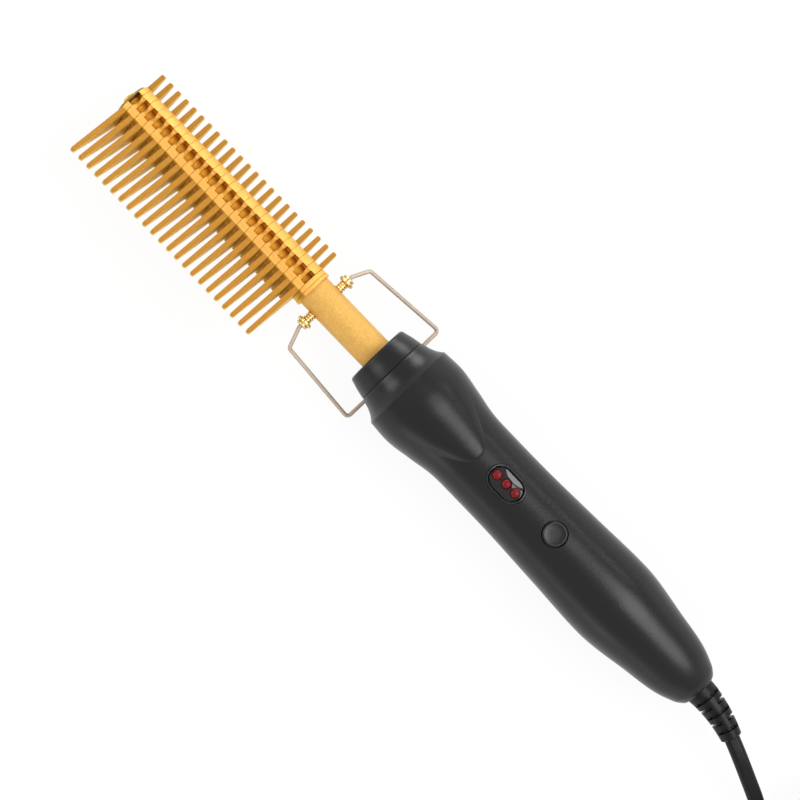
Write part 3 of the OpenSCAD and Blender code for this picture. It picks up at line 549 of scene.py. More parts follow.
@cache
def mottle():
    """Two colours mixed by a cloudy pattern."""
    w, given, out = effect(
        "Mottle", ["Color"], light=(1, 1, 1, 1), dark=(0, 0, 0, 1), scale=200.0, amount=0.5,
    )
    wide = w.noise(given["Place"], given["Scale"], 2.0)
    fine = w.noise(given["Place"], w.maths("MULTIPLY", given["Scale"], 4.3), 3.0, 0.6)
    both = w.maths("ADD", w.maths("MULTIPLY", wide, 0.65), w.maths("MULTIPLY", fine, 0.35))
    share = w.maths("MULTIPLY", w.spread(both, 0.36, 0.64), given["Amount"])
    w.join(w.blend(share, given["Light"], given["Dark"]), out["Color"])
    return w.tree


@cache
def fine_grain():
    """Fine even grain of a moulded or blasted surface."""
    w, given, out = effect("Fine grain", ["Height"], scale=2500.0, depth=1.0)
    cells = w.add("ShaderNodeTexVoronoi", feature="SMOOTH_F1")
    w.feed(cells.inputs["Vector"], given["Place"])
    w.feed(cells.inputs["Scale"], given["Scale"])
    soft = w.noise(given["Place"], given["Scale"], 2.0, 0.6)
    mixed = w.maths("ADD", w.maths("MULTIPLY", cells.outputs["Distance"], 0.5), soft)
    w.join(w.maths("MULTIPLY", mixed, given["Depth"]), out["Height"])
    return w.tree


@cache
def drawn_lines():
    """Fine lines of a drawn or turned metal, stretched along the barrel."""
    w, given, out = effect("Drawn lines", ["Height", "Mask"], scale=900.0, stretch=0.04, depth=1.0)
    squeeze = w.add("ShaderNodeCombineXYZ")
    w.feed(squeeze.inputs[0], given["Stretch"])
    squeeze.inputs[1].default_value = 1
    squeeze.inputs[2].default_value = 1
    place = w.vector("MULTIPLY", given["Place"], squeeze.outputs[0]).outputs[0]
    streak = w.noise(place, given["Scale"], 4.0, 0.65)
    w.join(streak, out["Mask"])
    w.join(w.maths("MULTIPLY", streak, given["Depth"]), out["Height"])
    return w.tree


@cache
def near_axis_mask():
    """Mask of what lies near the barrel's axis; the comb's gold uses it for its painted shade in the
    hollows.
    """
    w, given, out = effect("Hollow tint", ["Mask"], near=0.004, far=0.0065)
    flat = w.vector("MULTIPLY", given["Place"], (0, 1, 1)).outputs[0]
    reach = w.vector("DISTANCE", flat, (0, *at(0).yz)).outputs["Value"]
    w.join(w.spread(reach, given["Near"], given["Far"], 1.0, 0.0), out["Mask"])
    return w.tree


@cache
def teeth_shade_mask():
    """Mask of what lies outside the back and the rail, where the teeth stand and the comb's gold
    paints them darker, as shade.
    """
    w, given, out = effect("Teeth tint", ["Mask"], rail=0.0039, back=0.0066, blend=0.0007)
    across = w.maths("SUBTRACT", w.part(given["Place"], 1), at(0).y)
    sides = []
    for way, start in ((across, "Rail"), (w.maths("MULTIPLY", across, -1.0), "Back")):
        end = w.maths("ADD", given[start], given["Blend"])
        sides.append(w.spread(way, given[start], end))
    w.join(w.maths("MAXIMUM", *sides), out["Mask"])
    return w.tree


@cache
def smudges():
    """Soft smears of handling that vary the gloss."""
    w, given, out = effect("Smudges", ["Roughness"], scale=60.0, least=0.3, most=0.5)
    smear = w.noise(given["Place"], given["Scale"], 4.0, 0.62)
    w.join(w.spread(smear, 0.38, 0.66, given["Least"], given["Most"]), out["Roughness"])
    return w.tree


class Finish:
    """A material that is wired from the shared effects."""

    def __init__(self, name, metallic=0.0, **constants):
        self.material = bpy.data.materials.new(name)
        self.material.use_nodes = True
        self.w = Wiring(self.material.node_tree)
        self.shader = self.material.node_tree.nodes["Principled BSDF"]
        self.shader.inputs["Metallic"].default_value = metallic
        for label, value in constants.items():
            socket = label.replace("_", " ").title().replace("Ior", "IOR")
            self.shader.inputs[socket].default_value = value
        self.place = self.w.add("ShaderNodeTexCoord").outputs["Object"]

    def use(self, shared, **values):
        """One shared effect, built at its first use, with its own values here."""
        node = self.w.add("ShaderNodeGroup")
        node.node_tree = shared()
        self.w.join(self.place, node.inputs["Place"])
        for label, value in values.items():
            self.w.feed(node.inputs[label.title()], value)
        return node.outputs

    def clouds(self, light, dark, scale, amount):
        """Cloudy mix of two colours."""
        return self.use(mottle, light=light, dark=dark, scale=scale, amount=amount)["Color"]

    def colour(self, value):
        self.w.feed(self.shader.inputs["Base Color"], value)

    def smears(self, scale, least, most):
        """Roughness that varies between two levels."""
        gloss = self.use(smudges, scale=scale, least=least, most=most)
        self.w.join(gloss["Roughness"], self.shader.inputs["Roughness"])

    def bump(self, height):
        node = self.w.add("ShaderNodeBump")
        node.inputs["Strength"].default_value = 1.0
        node.inputs["Distance"].default_value = 1.0
        self.w.join(height, node.inputs["Height"])
        self.w.join(node.outputs["Normal"], self.shader.inputs["Normal"])

    def grain(self, scale, depth):
        """Bump of a fine grain."""
        self.bump(self.use(fine_grain, scale=scale, depth=depth)["Height"])


def rgba(colour, by=1.0):
    """Four numbers of a colour, darkened or lightened."""
    return (*[min(1.0, c * by) for c in colour[:3]], 1.0)


@cache
def simple_finish(
    name, light, dark, rough, metallic=0.0, cloud=250.0, grain=2500.0, depth=2e-5, **constants
):
    """Finish with a cloudy colour, a fine grain and a varied gloss."""
    f = Finish(name, metallic, **constants)
    f.colour(f.clouds(rgba(light), rgba(dark), cloud, 0.6))
    f.smears(cloud * 0.4, *rough)
    f.grain(grain, depth)
    return f.material


@cache
def cast_gold():
    """Gilded casting: cloudy gold with a cast grain, darker on its teeth and in its hollows as
    painted shade, and lighter on the teeth's flanks as painted light.
    """
    s = settings("hot_comb")
    f = Finish("cast_gold", 0.5, specular_ior_level=0.25)
    back = f.clouds(rgba(s.gold), rgba(s.gold, 0.82), 330.0, 0.3)
    # Painted light and shade by the way a face looks: faces that look up get the deeper teeth gold,
    # steep flanks the lighter flank gold
    upward = f.w.part(f.w.add("ShaderNodeTexCoord").outputs["Normal"], 2)
    flank = f.w.spread(upward, 0.3, 0.8, 1.0, 0.0)
    tooth = f.w.blend(flank, rgba(s.teeth_shade_gold), rgba(s.flank_light_gold))
    # Painted shade: outside the back and the rail the teeth get their darker, shaded gold
    with_teeth_shading = f.w.blend(f.use(teeth_shade_mask)["Mask"], back, tooth)
    # Painted shade: near the axis, in the pockets and hollows where shade falls, the gold turns to
    # the darker hollow shade gold
    hollow = f.use(near_axis_mask, near=s.shade_near, far=s.shade_far)["Mask"]
    hollow_shaded = f.w.blend(hollow, with_teeth_shading, rgba(s.hollow_shade_gold))
    pocket = f.use(near_axis_mask, near=0.0044, far=0.005)["Mask"]
    f.colour(f.w.blend(pocket, hollow_shaded, rgba(s.core_gold)))
    f.smears(300.0, 0.46, 0.6)
    f.grain(2600.0, 5e-5)
    return f.material


@cache
def satin_tube():
    """Gilded tube with drawn lines and fine sparkle."""
    gold = settings("hot_comb").barrel_gold
    f = Finish("satin_tube", 0.5)
    cloudy = f.clouds(rgba(gold), rgba(gold, 0.8), 420.0, 0.3)
    fleck = f.clouds(rgba((1, 1, 1)), rgba((0.6, 0.56, 0.45)), 1500.0, 0.4)
    f.colour(f.w.blend(1.0, cloudy, fleck, "MULTIPLY"))
    lines = f.use(drawn_lines, scale=1500.0, stretch=0.06, depth=2e-5)
    grain = f.use(fine_grain, scale=3200.0, depth=6e-5)
    f.w.join(f.w.spread(lines["Mask"], 0.3, 0.7, 0.5, 0.6), f.shader.inputs["Roughness"])
    f.bump(f.w.maths("ADD", lines["Height"], grain["Height"]))
    return f.material


def edge_shaded_metal(name, metallic, light, dark, edge, clouds, reach, smears):
    """Metal with painted shade that darkens it toward its outline as the camera sees it; reach says
    where between its face and its edge.
    """
    f = Finish(name, metallic)
    facing = f.w.add("ShaderNodeLayerWeight")
    facing.inputs["Blend"].default_value = 0.5
    share = f.w.spread(facing.outputs["Facing"], *reach)
    # Painted shade: towards the outline that the camera sees, the colour goes to the dark edge colour
    f.colour(f.w.blend(share, f.clouds(rgba(light), rgba(dark), clouds, 0.5), rgba(edge)))
    f.smears(*smears)
    return f.material


@cache
def grip_plastic():
    """Matt moulded plastic of the grip."""
    s = settings("hot_comb_grip")
    f = Finish("grip_plastic", 0.0, specular_ior_level=0.34)
    f.colour(f.clouds(rgba(s.plastic), rgba(s.plastic, 0.82), 90.0, 0.5))
    f.smears(45.0, 0.285, 0.33)
    f.grain(2100.0, s.grain)
    return f.material


def black_rubber():
    """Soft black rubber of the lead and its strain relief."""
    return simple_finish(
        "lead_rubber", (0.006, 0.006, 0.0065), (0.004, 0.004, 0.0045), (0.34, 0.44),
        cloud=160, grain=2600, depth=1.5e-5, specular_ior_level=0.2,
    )


def screw_steel():
    """Bright steel of the screws."""
    return simple_finish(
        "screw_steel", (0.5, 0.5, 0.5), (0.32, 0.32, 0.32), (0.25, 0.4),
        metallic=1.0, cloud=500, grain=2600, depth=8e-6,
    )


def dress(node, finish, crease=30, bevel=0.0, segments=2):
    """Gives a CAD node its finish, and soft edges where bevel is over 0."""
    piece = NODES[node]
    piece.data.materials.clear()
    piece.data.materials.append(finish)
    if bevel:
        weld = piece.modifiers.new("join", "WELD")
        weld.merge_threshold = 2e-6
        round_off = piece.modifiers.new("edges", "BEVEL")
        round_off.width = bevel
        round_off.segments = segments
        round_off.limit_method = "ANGLE"
        round_off.angle_limit = math.radians(crease)
        round_off.use_clamp_overlap = True
        piece.modifiers.new("shading", "WEIGHTED_NORMAL").keep_sharp = True
    return piece


# ---- stage ----


class HOTCOMB_OT_stage(Operator):
    """Camera, floor and soft lights"""

    bl_idname = "hotcomb.stage"
    bl_label = "Stage"

    def execute(self, context):
        s = settings("hot_comb_stage")
        self.camera(context)
        context.scene.view_settings.view_transform = "Standard"
        self.floor(s)
        for name, place, size in LIGHTS:
            self.light(name, place, size, getattr(s, name + "_power"))
        self.sky(context, s)
        return {"FINISHED"}

    def camera(self, context):
        camera = placed("camera", bpy.data.cameras.new("camera"))
        camera.data.lens = LENS
        camera.data.sensor_width = 36
        camera.data.dof.use_dof = False
        along = Vector((-1, 0, 0))
        across = Vector((0, math.cos(CAMERA_LEAN), -math.sin(CAMERA_LEAN)))
        right = (ALONG_SHARE * along - ACROSS_SHARE * across).normalized()
        up = (-ACROSS_SHARE * along - ALONG_SHARE * across).normalized()
        back = right.cross(up)
        centre = at(CAMERA_STATION) + CAMERA_ASIDE * across
        turn = Matrix((right, up, back)).transposed().to_4x4()
        camera.matrix_world = Matrix.Translation(centre + CAMERA_AWAY * back) @ turn
        camera.data.clip_start = 0.01
        camera.data.clip_end = 50
        context.scene.camera = camera

    def light(self, name, place, size, power):
        lamp = bpy.data.lights.new(name, "AREA")
        lamp.shape = "DISK"
        lamp.size = size
        lamp.energy = power
        piece = placed(name, lamp)
        piece.location = place
        piece.rotation_euler = (-Vector(place)).to_track_quat("-Z", "Y").to_euler()

    def floor(self, s):
        floor = solid("floor", [(-8, -8, 0), (8, -8, 0), (8, 8, 0), (-8, 8, 0)], [(0, 1, 2, 3)])
        material = bpy.data.materials.new("pale_floor")
        material.use_nodes = True
        tree = material.node_tree
        tree.nodes.clear()
        w = Wiring(tree)
        paint = w.add("ShaderNodeBsdfDiffuse")
        paint.inputs["Color"].default_value = (0.86, 0.86, 0.86, 1)
        seen = w.add("ShaderNodeLightPath").outputs
        both = w.maths("MAXIMUM", seen["Is Camera Ray"], seen["Is Glossy Ray"])
        shown = w.maths("MAXIMUM", both, seen["Is Transmission Ray"])
        share = w.maths("MULTIPLY", shown, 1 - s.floor_shadow)
        self.mix(w, share, paint, "ShaderNodeEmission", "ShaderNodeOutputMaterial")
        floor.data.materials.append(material)

    def sky(self, context, s):
        world = bpy.data.worlds.new("sky")
        world.use_nodes = True
        context.scene.world = world
        world.node_tree.nodes.clear()
        w = Wiring(world.node_tree)
        even = w.add("ShaderNodeBackground")
        upward = w.part(w.add("ShaderNodeTexCoord").outputs["Generated"], 2)
        level = w.spread(upward, 0.0, 0.4, s.sky * s.horizon, s.sky)
        w.join(level, even.inputs["Strength"])
        seen = w.add("ShaderNodeLightPath").outputs["Is Camera Ray"]
        self.mix(w, seen, even, "ShaderNodeBackground", "ShaderNodeOutputWorld")

    def mix(self, w, share, plain, white_kind, out_kind):
        """Shows plain white for the share, and the plain shader for the rest."""
        white = w.add(white_kind)
        white.inputs["Strength"].default_value = 1.0
        mix = w.add("ShaderNodeMixShader")
        w.join(share, mix.inputs[0])
        w.join(plain.outputs[0], mix.inputs[1])
        w.join(white.outputs[0], mix.inputs[2])
        w.join(mix.outputs[0], w.add(out_kind).inputs[0])


# ---- lead ----


def relief_line(shares):
    """Points along the strain relief's middle, as (station, across, above)."""
    return np.array([
        [GRIP_END + u * RELIEF_LENGTH, curve_at(u, RELIEF_ACROSS), curve_at(u, RELIEF_RISE)]
        for u in shares
    ])


def tail_start():
    """Angle at which the tail leaves the coil's outer turn, and its straight length from there."""
    reach = (PLUG_END - TAIL_STRAIGHT - COIL_AT[0], PLUG_ACROSS - TAIL_BEND_R - COIL_AT[1])
    apart = COIL_R + LEAD_W - TAIL_BEND_R
    away = math.hypot(*reach)
    angle = math.atan2(reach[1], reach[0]) + math.acos(apart / away)
    return angle, math.sqrt(away**2 - apart**2)


def coil_line(steps):
    """The stored turns, from the outer turn at the bottom to the outer turn at the top."""
    slots = np.array([
        (COIL_R + k * LEAD_W, TIE_T + LEAD_T * (layer + 0.5))
        for layer, order in enumerate(((1, 0, -1), (-1, 0, 1), (-1, 0, 1))) for k in order
    ])
    first_change, change = 250.0, 140.0
    whole = COIL_START - math.degrees(tail_start()[0]) + 360 * (len(slots) - 1)
    way = np.linspace(0, whole, int(whole / 360 * steps))
    place = np.repeat(slots[:1], len(way), axis=0)
    for k, step in enumerate(np.diff(slots, axis=0)):
        place += smooth((way - first_change - 360 * k) / change)[:, None] * step
    r, height = place.T
    angle = np.radians(COIL_START - way)
    return np.stack([COIL_AT[0] + r * np.cos(angle), COIL_AT[1] + r * np.sin(angle), height], axis=1)


def tail_line():
    """The tail: straight from the coil, round one rising bend and into the plug."""
    start, free = tail_start()
    end = math.radians(-270)
    low = TIE_T + 2.5 * LEAD_T
    whole = free + TAIL_BEND_R * (start - end)
    points = []
    for a in np.linspace(start, end, 10):
        rise = smooth((free + TAIL_BEND_R * (start - a)) / whole)
        points.append([
            PLUG_END - TAIL_STRAIGHT + TAIL_BEND_R * math.cos(a),
            PLUG_ACROSS - TAIL_BEND_R + TAIL_BEND_R * math.sin(a), low + (PLUG_UP - low) * rise,
        ])
    return points + [[PLUG_END - JOINT_GAP, PLUG_ACROSS, PLUG_UP]]


def lead_section(width, thickness):
    """Flat section with round sides."""
    a, b = width / 2, thickness / 2
    half = [(x, b) for x in np.linspace(b - a, a - b, 13)]
    half += [
        (a - b + b * math.cos(t), b * math.sin(t))
        for t in np.linspace(math.pi / 2, -math.pi / 2, 11)[1:-1]
    ]
    return np.array(half + [(-x, -y) for x, y in half])


class HOTCOMB_OT_lead(Operator):
    """Flat mains lead with its stored coil, tie, plug and pins"""

    bl_idname = "hotcomb.lead"
    bl_label = "Mains lead"

    def execute(self, context):
        s = settings("hot_comb_lead")
        way = np.vstack([LEAD_ROUTE, coil_line(s.turn_steps), tail_line()])
        way[:, 2] -= AXIS_HEIGHT
        line = spline(to_world(way), 0.0022)
        shape = swept(line, lead_section(s.width, s.thickness))
        lead = tube("flat_lead", shape, black_rubber(), crease=50)
        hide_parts("lead_cord", "coiled_cord", "tail_cord")
        tie = self.tie()
        plug = self.plug()
        pins = self.pins()
        at(*relief_line([1.0])[0])
        return {"FINISHED"}

    def tie(self):
        """Thin flat band round the turns."""
        finish = simple_finish(
            "tie_paper", (0.75, 0.75, 0.73), (0.6, 0.6, 0.58), (0.5, 0.65),
            cloud=300, grain=1500, depth=4e-5,
        )
        half_w, half_h, r, half_l, edge_l, thick, thin = 9.04, 5.8, 2.2, 3.5, 3.2, 0.5, 0.38
        across, height = COIL_AT[1] - 30.86, 6.35 - AXIS_HEIGHT
        corners = [
            (x * (half_w - r), y * (half_h - r), math.radians(first + a))
            for x, y, first in ((1, 1, 0), (-1, 1, 90), (-1, -1, 180), (1, -1, 270))
            for a in np.linspace(0, 90, 9)
        ]
        rings = [(edge, r) for edge in (-half_l, -edge_l, edge_l, half_l)]
        rings += [
            (half_l, r + thin), (edge_l, r + thick), (-edge_l, r + thick), (-half_l, r + thin),
        ]
        shape = to_world([
            [(COIL_AT[0] + edge, across + x + q * math.cos(a), height + y + q * math.sin(a))
             for x, y, a in corners] for edge, q in rings
        ])
        tie = tube("coil_band", shape, finish, closed=False, looped=True, crease=40)
        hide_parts("cord_tie")
        return tie

    def plug(self):
        """Moulded plug body, drawn in to its own short sleeve."""
        finish = simple_finish(
            "plug_plastic", (0.020, 0.020, 0.021), (0.012, 0.012, 0.013), (0.34, 0.46),
            cloud=120, grain=2300, depth=2e-5,
        )
        # Rings as distance from the face, half width, half height, and how square they are
        rings = [
            (0, 16.4, 5.9, 3.2), (0.4, 17.1, 6.5, 3.4), (1.4, 17.6, 6.8, 3.6), (7, 17.65, 6.85, 3.8),
            (10, 17.3, 6.85, 3.8), (14, 15.9, 6.8, 3.6), (19, 13.3, 6.7, 3.4), (24, 10.7, 6.5, 3.2),
            (29, 8.6, 6.2, 3.0), (33, 7.0, 5.8, 2.7), (35.2, 6.1, 5.4, 2.4), (36.2, 5.2, 4.9, 2.2),
            (36.25, 4.7, 4.7, 2),
        ]
        for i in range(4):
            start, r = 36.6 + i * 2.9, 4.6 - 0.3 * i
            for on, less in ((0, 0), (1.75, 0.1), (1.9, 0.85), (2.75, 0.9)):
                rings.append((start + on, r - less, r - less, 2))
        rings.append((PLUG_FACE - PLUG_END, 3.2, 3.2, 2))
        ring = np.array(circle(72))
        shape = []
        for back, half_w, half_h, square in rings:
            x, z = (np.sign(ring) * abs(ring) ** (2 / square) * (half_w, half_h)).T
            station = np.full(len(x), PLUG_FACE - back)
            shape.append(np.stack([station, PLUG_ACROSS + x, PLUG_UP + z - AXIS_HEIGHT], axis=1))
        plug = tube("moulded_plug", to_world(shape), finish, crease=32)
        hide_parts("plug_body")
        return plug

    def pins(self):
        """Round plated pins."""
        finish = simple_finish(
            "pin_nickel", (0.72, 0.70, 0.66), (0.55, 0.53, 0.5), (0.16, 0.28),
            metallic=1.0, cloud=400, grain=3000, depth=4e-6,
        )
        return dress("plug_pins", finish, bevel=0.00015)


class HOTCOMB_OT_relief(Operator):
    """Bent strain relief with slotted rings"""

    bl_idname = "hotcomb.relief"
    bl_label = "Strain relief"

    def execute(self, context):
        slot_edges = [
            (s - GRIP_END) / RELIEF_LENGTH + d
            for s in RELIEF_SLOTS for d in (-0.032, -0.025, 0.025, 0.032)
        ]
        shares = sorted({round(x, 4) for x in [*np.linspace(0, 1, 70), *slot_edges]})
        ring = np.array(circle(96))
        root_r, taper, slot_deep, slot_half_w, slot_round = 5.62, 1.7, 1.5, 0.5, 0.14
        end_share, end_round = 0.015, 0.35
        # Slots above and below and slots at the sides take turns along the sleeve
        open_at = [smooth((abs(ring[:, 1]) - 0.2) / 0.05), smooth((abs(ring[:, 0]) - 0.3) / 0.05)]
        sections = []
        for u in shares:
            r = root_r - taper * u - end_round * max(0.0, 1 - (1 - u) / end_share) ** 2
            away = [abs(GRIP_END + u * RELIEF_LENGTH - middle) for middle in RELIEF_SLOTS]
            near = [1 - smooth((d - slot_half_w) / slot_round) for d in away]
            deep = np.max([share * open_at[n % 2] for n, share in enumerate(near)], axis=0)
            sections.append((r - slot_deep * deep)[:, None] * ring / 1000)
        shape = swept(to_world(relief_line(shares)), np.array(sections))
        relief = tube("ribbed_relief", shape, black_rubber(), crease=40)
        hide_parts("strain_relief")
        return {"FINISHED"}


# ---- comb ----


class HOTCOMB_OT_comb(Operator):
    """Cast segments with their teeth, the end disc and its screw"""

    bl_idname = "hotcomb.comb"
    bl_label = "Comb"

    def execute(self, context):
        s = settings("hot_comb")
        gold = cast_gold()
        for name in sorted(NODES):
            if name.startswith("comb_segment"):
                dress(name, gold, crease=25, bevel=s.edge_round)
        dark = simple_finish(
            "disc_steel", (0.34, 0.25, 0.09), (0.2, 0.14, 0.05), (0.4, 0.55),
            metallic=0.8, cloud=300, grain=2500, depth=3e-5,
        )
        dress("end_disc", dark, bevel=0.00034, segments=3)
        dress("tip_screw", gold, bevel=0.0001)
        core = simple_finish(
            "core_gold", rgba(s.core_gold), rgba(s.core_gold, 0.8), (0.5, 0.62),
            metallic=0.4, cloud=330, grain=2600, depth=4e-5,
        )
        dress("core_tube", core)
        return {"FINISHED"}


# ---- barrel and stand ----


class HOTCOMB_OT_barrel(Operator):
    """Flange, bare tube and the two studs"""

    bl_idname = "hotcomb.barrel"
    bl_label = "Barrel"

    def execute(self, context):
        dress("comb_flange", cast_gold(), bevel=0.00012)
        dress("barrel", satin_tube())
        self.studs()
        return {"FINISHED"}

    def studs(self):
        """Polished studs: a ringed neck, a thick round flange and a small cup for the wire."""
        # Painted shade darkens the studs toward their outline
        finish = edge_shaded_metal(
            "polished_gold", 1.0, light=(0.93, 0.74, 0.36), dark=(0.80, 0.58, 0.22),
            edge=(0.17, 0.11, 0.03), clouds=500.0, reach=(0.35, 0.95), smears=(300.0, 0.12, 0.2),
        )
        foot, ring_pitch = 6.3, 1.02
        outline = [(0.0, foot), (1.6, foot)]
        for i in range(3):
            low = foot + 0.15 + i * ring_pitch
            outline += [
                (1.36, low), (1.66, low + 0.12), (1.8, low + 0.42), (1.66, low + 0.74),
                (1.36, low + 0.9),
            ]
        outline += [
            (1.45, 9.5), (2.2, 9.56), (2.66, 9.72), (2.88, 9.98), (2.95, 10.3), (2.88, 10.62),
            (2.66, 10.88), (2.25, 11.04), (1.95, 11.12), (1.95, 11.2), (2.12, 11.3), (2.24, 11.5),
            (2.24, 11.75), (2.1, 11.98), (1.7, 12.15), (1.2, 12.18), (0.9, 12.05), (0.8, 11.2),
            (0.0, 11.2),
        ]
        places = [
            lambda x, y, out: (PIVOT + x, -out, y), lambda x, y, out: (PIVOT + x, out, y),
        ]
        piece = turned("ringed_studs", outline, places, 48, finish, closed=False, crease=50)
        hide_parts("stand_studs")


def rounded_route(points, radius, steps):
    """Route with its corners rounded."""
    p = np.array(points, float)
    legs = np.diff(p, axis=0)
    legs /= np.linalg.norm(legs, axis=1)[:, None]
    out = [p[0]]
    for corner, a, b in zip(p[1:], legs, legs[1:]):
        bend = math.acos(a @ b)
        left = np.sign(np.cross(a, b)[2]) * np.cross([0, 0, 1], a)
        start = corner - radius * math.tan(bend / 2) * a
        for t in np.linspace(0, bend, steps + 1):
            out.append(start + radius * (math.sin(t) * a + (1 - math.cos(t)) * left))
    return np.array([*out, p[-1]])


class HOTCOMB_OT_stand(Operator):
    """Folding wire stand"""

    bl_idname = "hotcomb.stand"
    bl_label = "Wire stand"

    def execute(self, context):
        # Painted shade darkens the wire toward its outline
        finish = edge_shaded_metal(
            "drawn_wire", 0.3, light=(0.52, 0.42, 0.32), dark=(0.44, 0.35, 0.26),
            edge=(0.09, 0.065, 0.045), clouds=160.0, reach=(0.25, 0.85), smears=(70.0, 0.42, 0.5),
        )
        # The wire lies to one side in the play of its studs
        end, play, wire_r, reach = STAND_END, 0.7, 0.75, 39.9
        route = rounded_route([
            (0, -end + 1.2 - play, 0), (0, -end - 0.9 - play, 0), (-3.2, -20.2, 0), (-39.3, -25.0, 0),
            (-38.9, 21.1, 0), (-3.2, 20.0, 0), (0, end + 0.9 - play, 0), (0, end - 1.2 - play, 0),
        ], 1.6, 12)
        rest = math.asin((AXIS_HEIGHT - JOINT_GAP - wire_r) / reach)
        line = to_world(np.stack([
            PIVOT - route[:, 0] * math.cos(rest), route[:, 1] + play, route[:, 0] * math.sin(rest),
        ], axis=1))
        section = (wire_r - 0.01) / 1000 * np.array(circle(24))
        shape = swept(line, section, over=(-math.sin(rest), 0, math.cos(rest)))
        wire = tube("bent_wire", shape, finish, body="stand", crease=60)
        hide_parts("stand_wire")
        return {"FINISHED"}


# ---- grip ----


def tongue_half(s):
    """Half the width of the tongue at a station: two arcs that meet in a rounded point."""
    if s >= TONGUE_TIP:
        return 0.0
    arcs = math.sqrt(TONGUE_ARC**2 - max(0.0, s - BELLY) ** 2) - TONGUE_OFF
    return min(17.0, arcs, math.sqrt(2 * TONGUE_ROUND * (TONGUE_TIP - s)))


def tongue_rise(s):
    """Height of the tongue above the grip's own surface."""
    if s <= BELLY:
        return 0.0
    top = float(np.interp(s, *zip(*TONGUE_TOP)))
    return max(0.0, top - grip_r(s)) * float(1 - smooth(s - TONGUE_TIP + 1.0))


def skin_ring(s):
    """Right half of the skin at a station, from its middle to the seam, as (angle, radius)."""
    front_round, front_round_l = 0.12, 0.3
    r = grip_r(s)
    if s < SEAM + front_round_l:
        r -= front_round * (1 - (s - SEAM) / front_round_l)
    # The points stand closest on the tongue, and spread out again behind its tip
    rise = tongue_rise(s)
    narrow, wide, widening_l = 0.25, 12, 22
    half = max(tongue_half(s), narrow)
    if s > TONGUE_TIP:
        half = narrow + wide * float(smooth((s - TONGUE_TIP) / widening_l))
    edge = math.asin(min(0.97, half / (r + rise)))
    steep = float(np.interp(s, [62, 83], [2.0, 3.2]))
    marks = []
    for a in np.linspace(0, edge, 34):
        share = (r + rise) * math.sin(a) / half
        marks.append((a, rise * max(0.0, 1 - share**steep)))
    marks[-1] = (edge, 0.0)
    quarter = math.pi / 2
    marks += [(a, 0.0) for a in np.linspace(edge + 0.36 / r, quarter - 0.035, 26)]
    marks += [(quarter - 0.02, 0.0), (quarter - 0.008, -0.12), (quarter, -0.3)]
    return [(a, r + d) for a, d in marks]


class HOTCOMB_OT_grip(Operator):
    """Nose cap and the two shells of the grip"""

    bl_idname = "hotcomb.grip"
    bl_label = "Grip"

    def execute(self, context):
        plastic = grip_plastic()
        self.nose(plastic)
        upper = self.shell("upper_skin", 1, plastic)
        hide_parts("upper_shell")
        carve(upper, [
            stadium_cutter(WINDOW_MID, WINDOW_HALF_L, WINDOW_HALF_W, [
                (13.2, 0.15), (15.0, 0.15), (15.25, 0.35), (20, 0.9),
            ]),
            post_cutter(BUTTON_AT, 0, BUTTON_R + 0.35, 10, 20),
        ])
        soften(upper.data, 30)
        lower = self.shell("lower_skin", -1, plastic)
        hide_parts("lower_shell")
        carve(lower, [post_cutter(s, y, SCREW_WELL_R, -25, -7) for s, y in SCREW_WELLS])
        soften(lower.data, 30)
        dress("shell_screws", screw_steel(), bevel=0.0001)
        return {"FINISHED"}

    def nose(self, plastic):
        """Front ring with a rounded corner and a shadow line at the seam."""
        bore, wall_r, corner = 6.75, 12.1, 1.3
        outline = [
            (bore, NOSE_FRONT + 1.6), (bore, NOSE_FRONT + 0.35), (6.95, NOSE_FRONT + 0.08),
            (7.3, NOSE_FRONT),
        ]
        outline += [
            (NOSE_R - corner + corner * math.sin(a), NOSE_FRONT + corner - corner * math.cos(a))
            for a in np.linspace(0, math.pi / 2, 10)
        ]
        outline += [
            (13.62, 36.5), (14.2, 39.5), (14.27, 39.95), (14.1, 40.06), (13.9, SEAM - 0.02),
            (wall_r, SEAM - 0.02), (wall_r, NOSE_FRONT + 2.0), (bore, NOSE_FRONT + 2.0),
        ]
        place = [lambda x, y, along: (along, x, y)]
        nose = turned("nose_ring", outline, place, 128, plastic, crease=28)
        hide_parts("nose_cap")

    def shell(self, name, side, plastic):
        """Half of the grip's skin, above (side 1) or below (side -1)."""
        stations = np.concatenate([np.linspace(*span) for span in SKIN_SPANS])
        rows = []
        for s in stations:
            right = skin_ring(s)
            ring = [(-a, r) for a, r in right[:0:-1]] + right
            rows.append([[s, r * math.sin(a), side * r * math.cos(a)] for a, r in ring])
        outer = np.array(rows)
        inner = outer.copy()
        inner_r = np.array([max(grip_r(s) - SHELL_WALL, 5.0) for s in stations])
        shrink = inner_r[:, None] / np.hypot(outer[..., 1], outer[..., 2])
        inner[..., 1:] *= shrink[..., None]
        inner[:, (0, -1), 2] = 0
        rings = np.concatenate([outer, inner[:, ::-1]], axis=1)
        return tube(name, to_world(rings), plastic, crease=30)


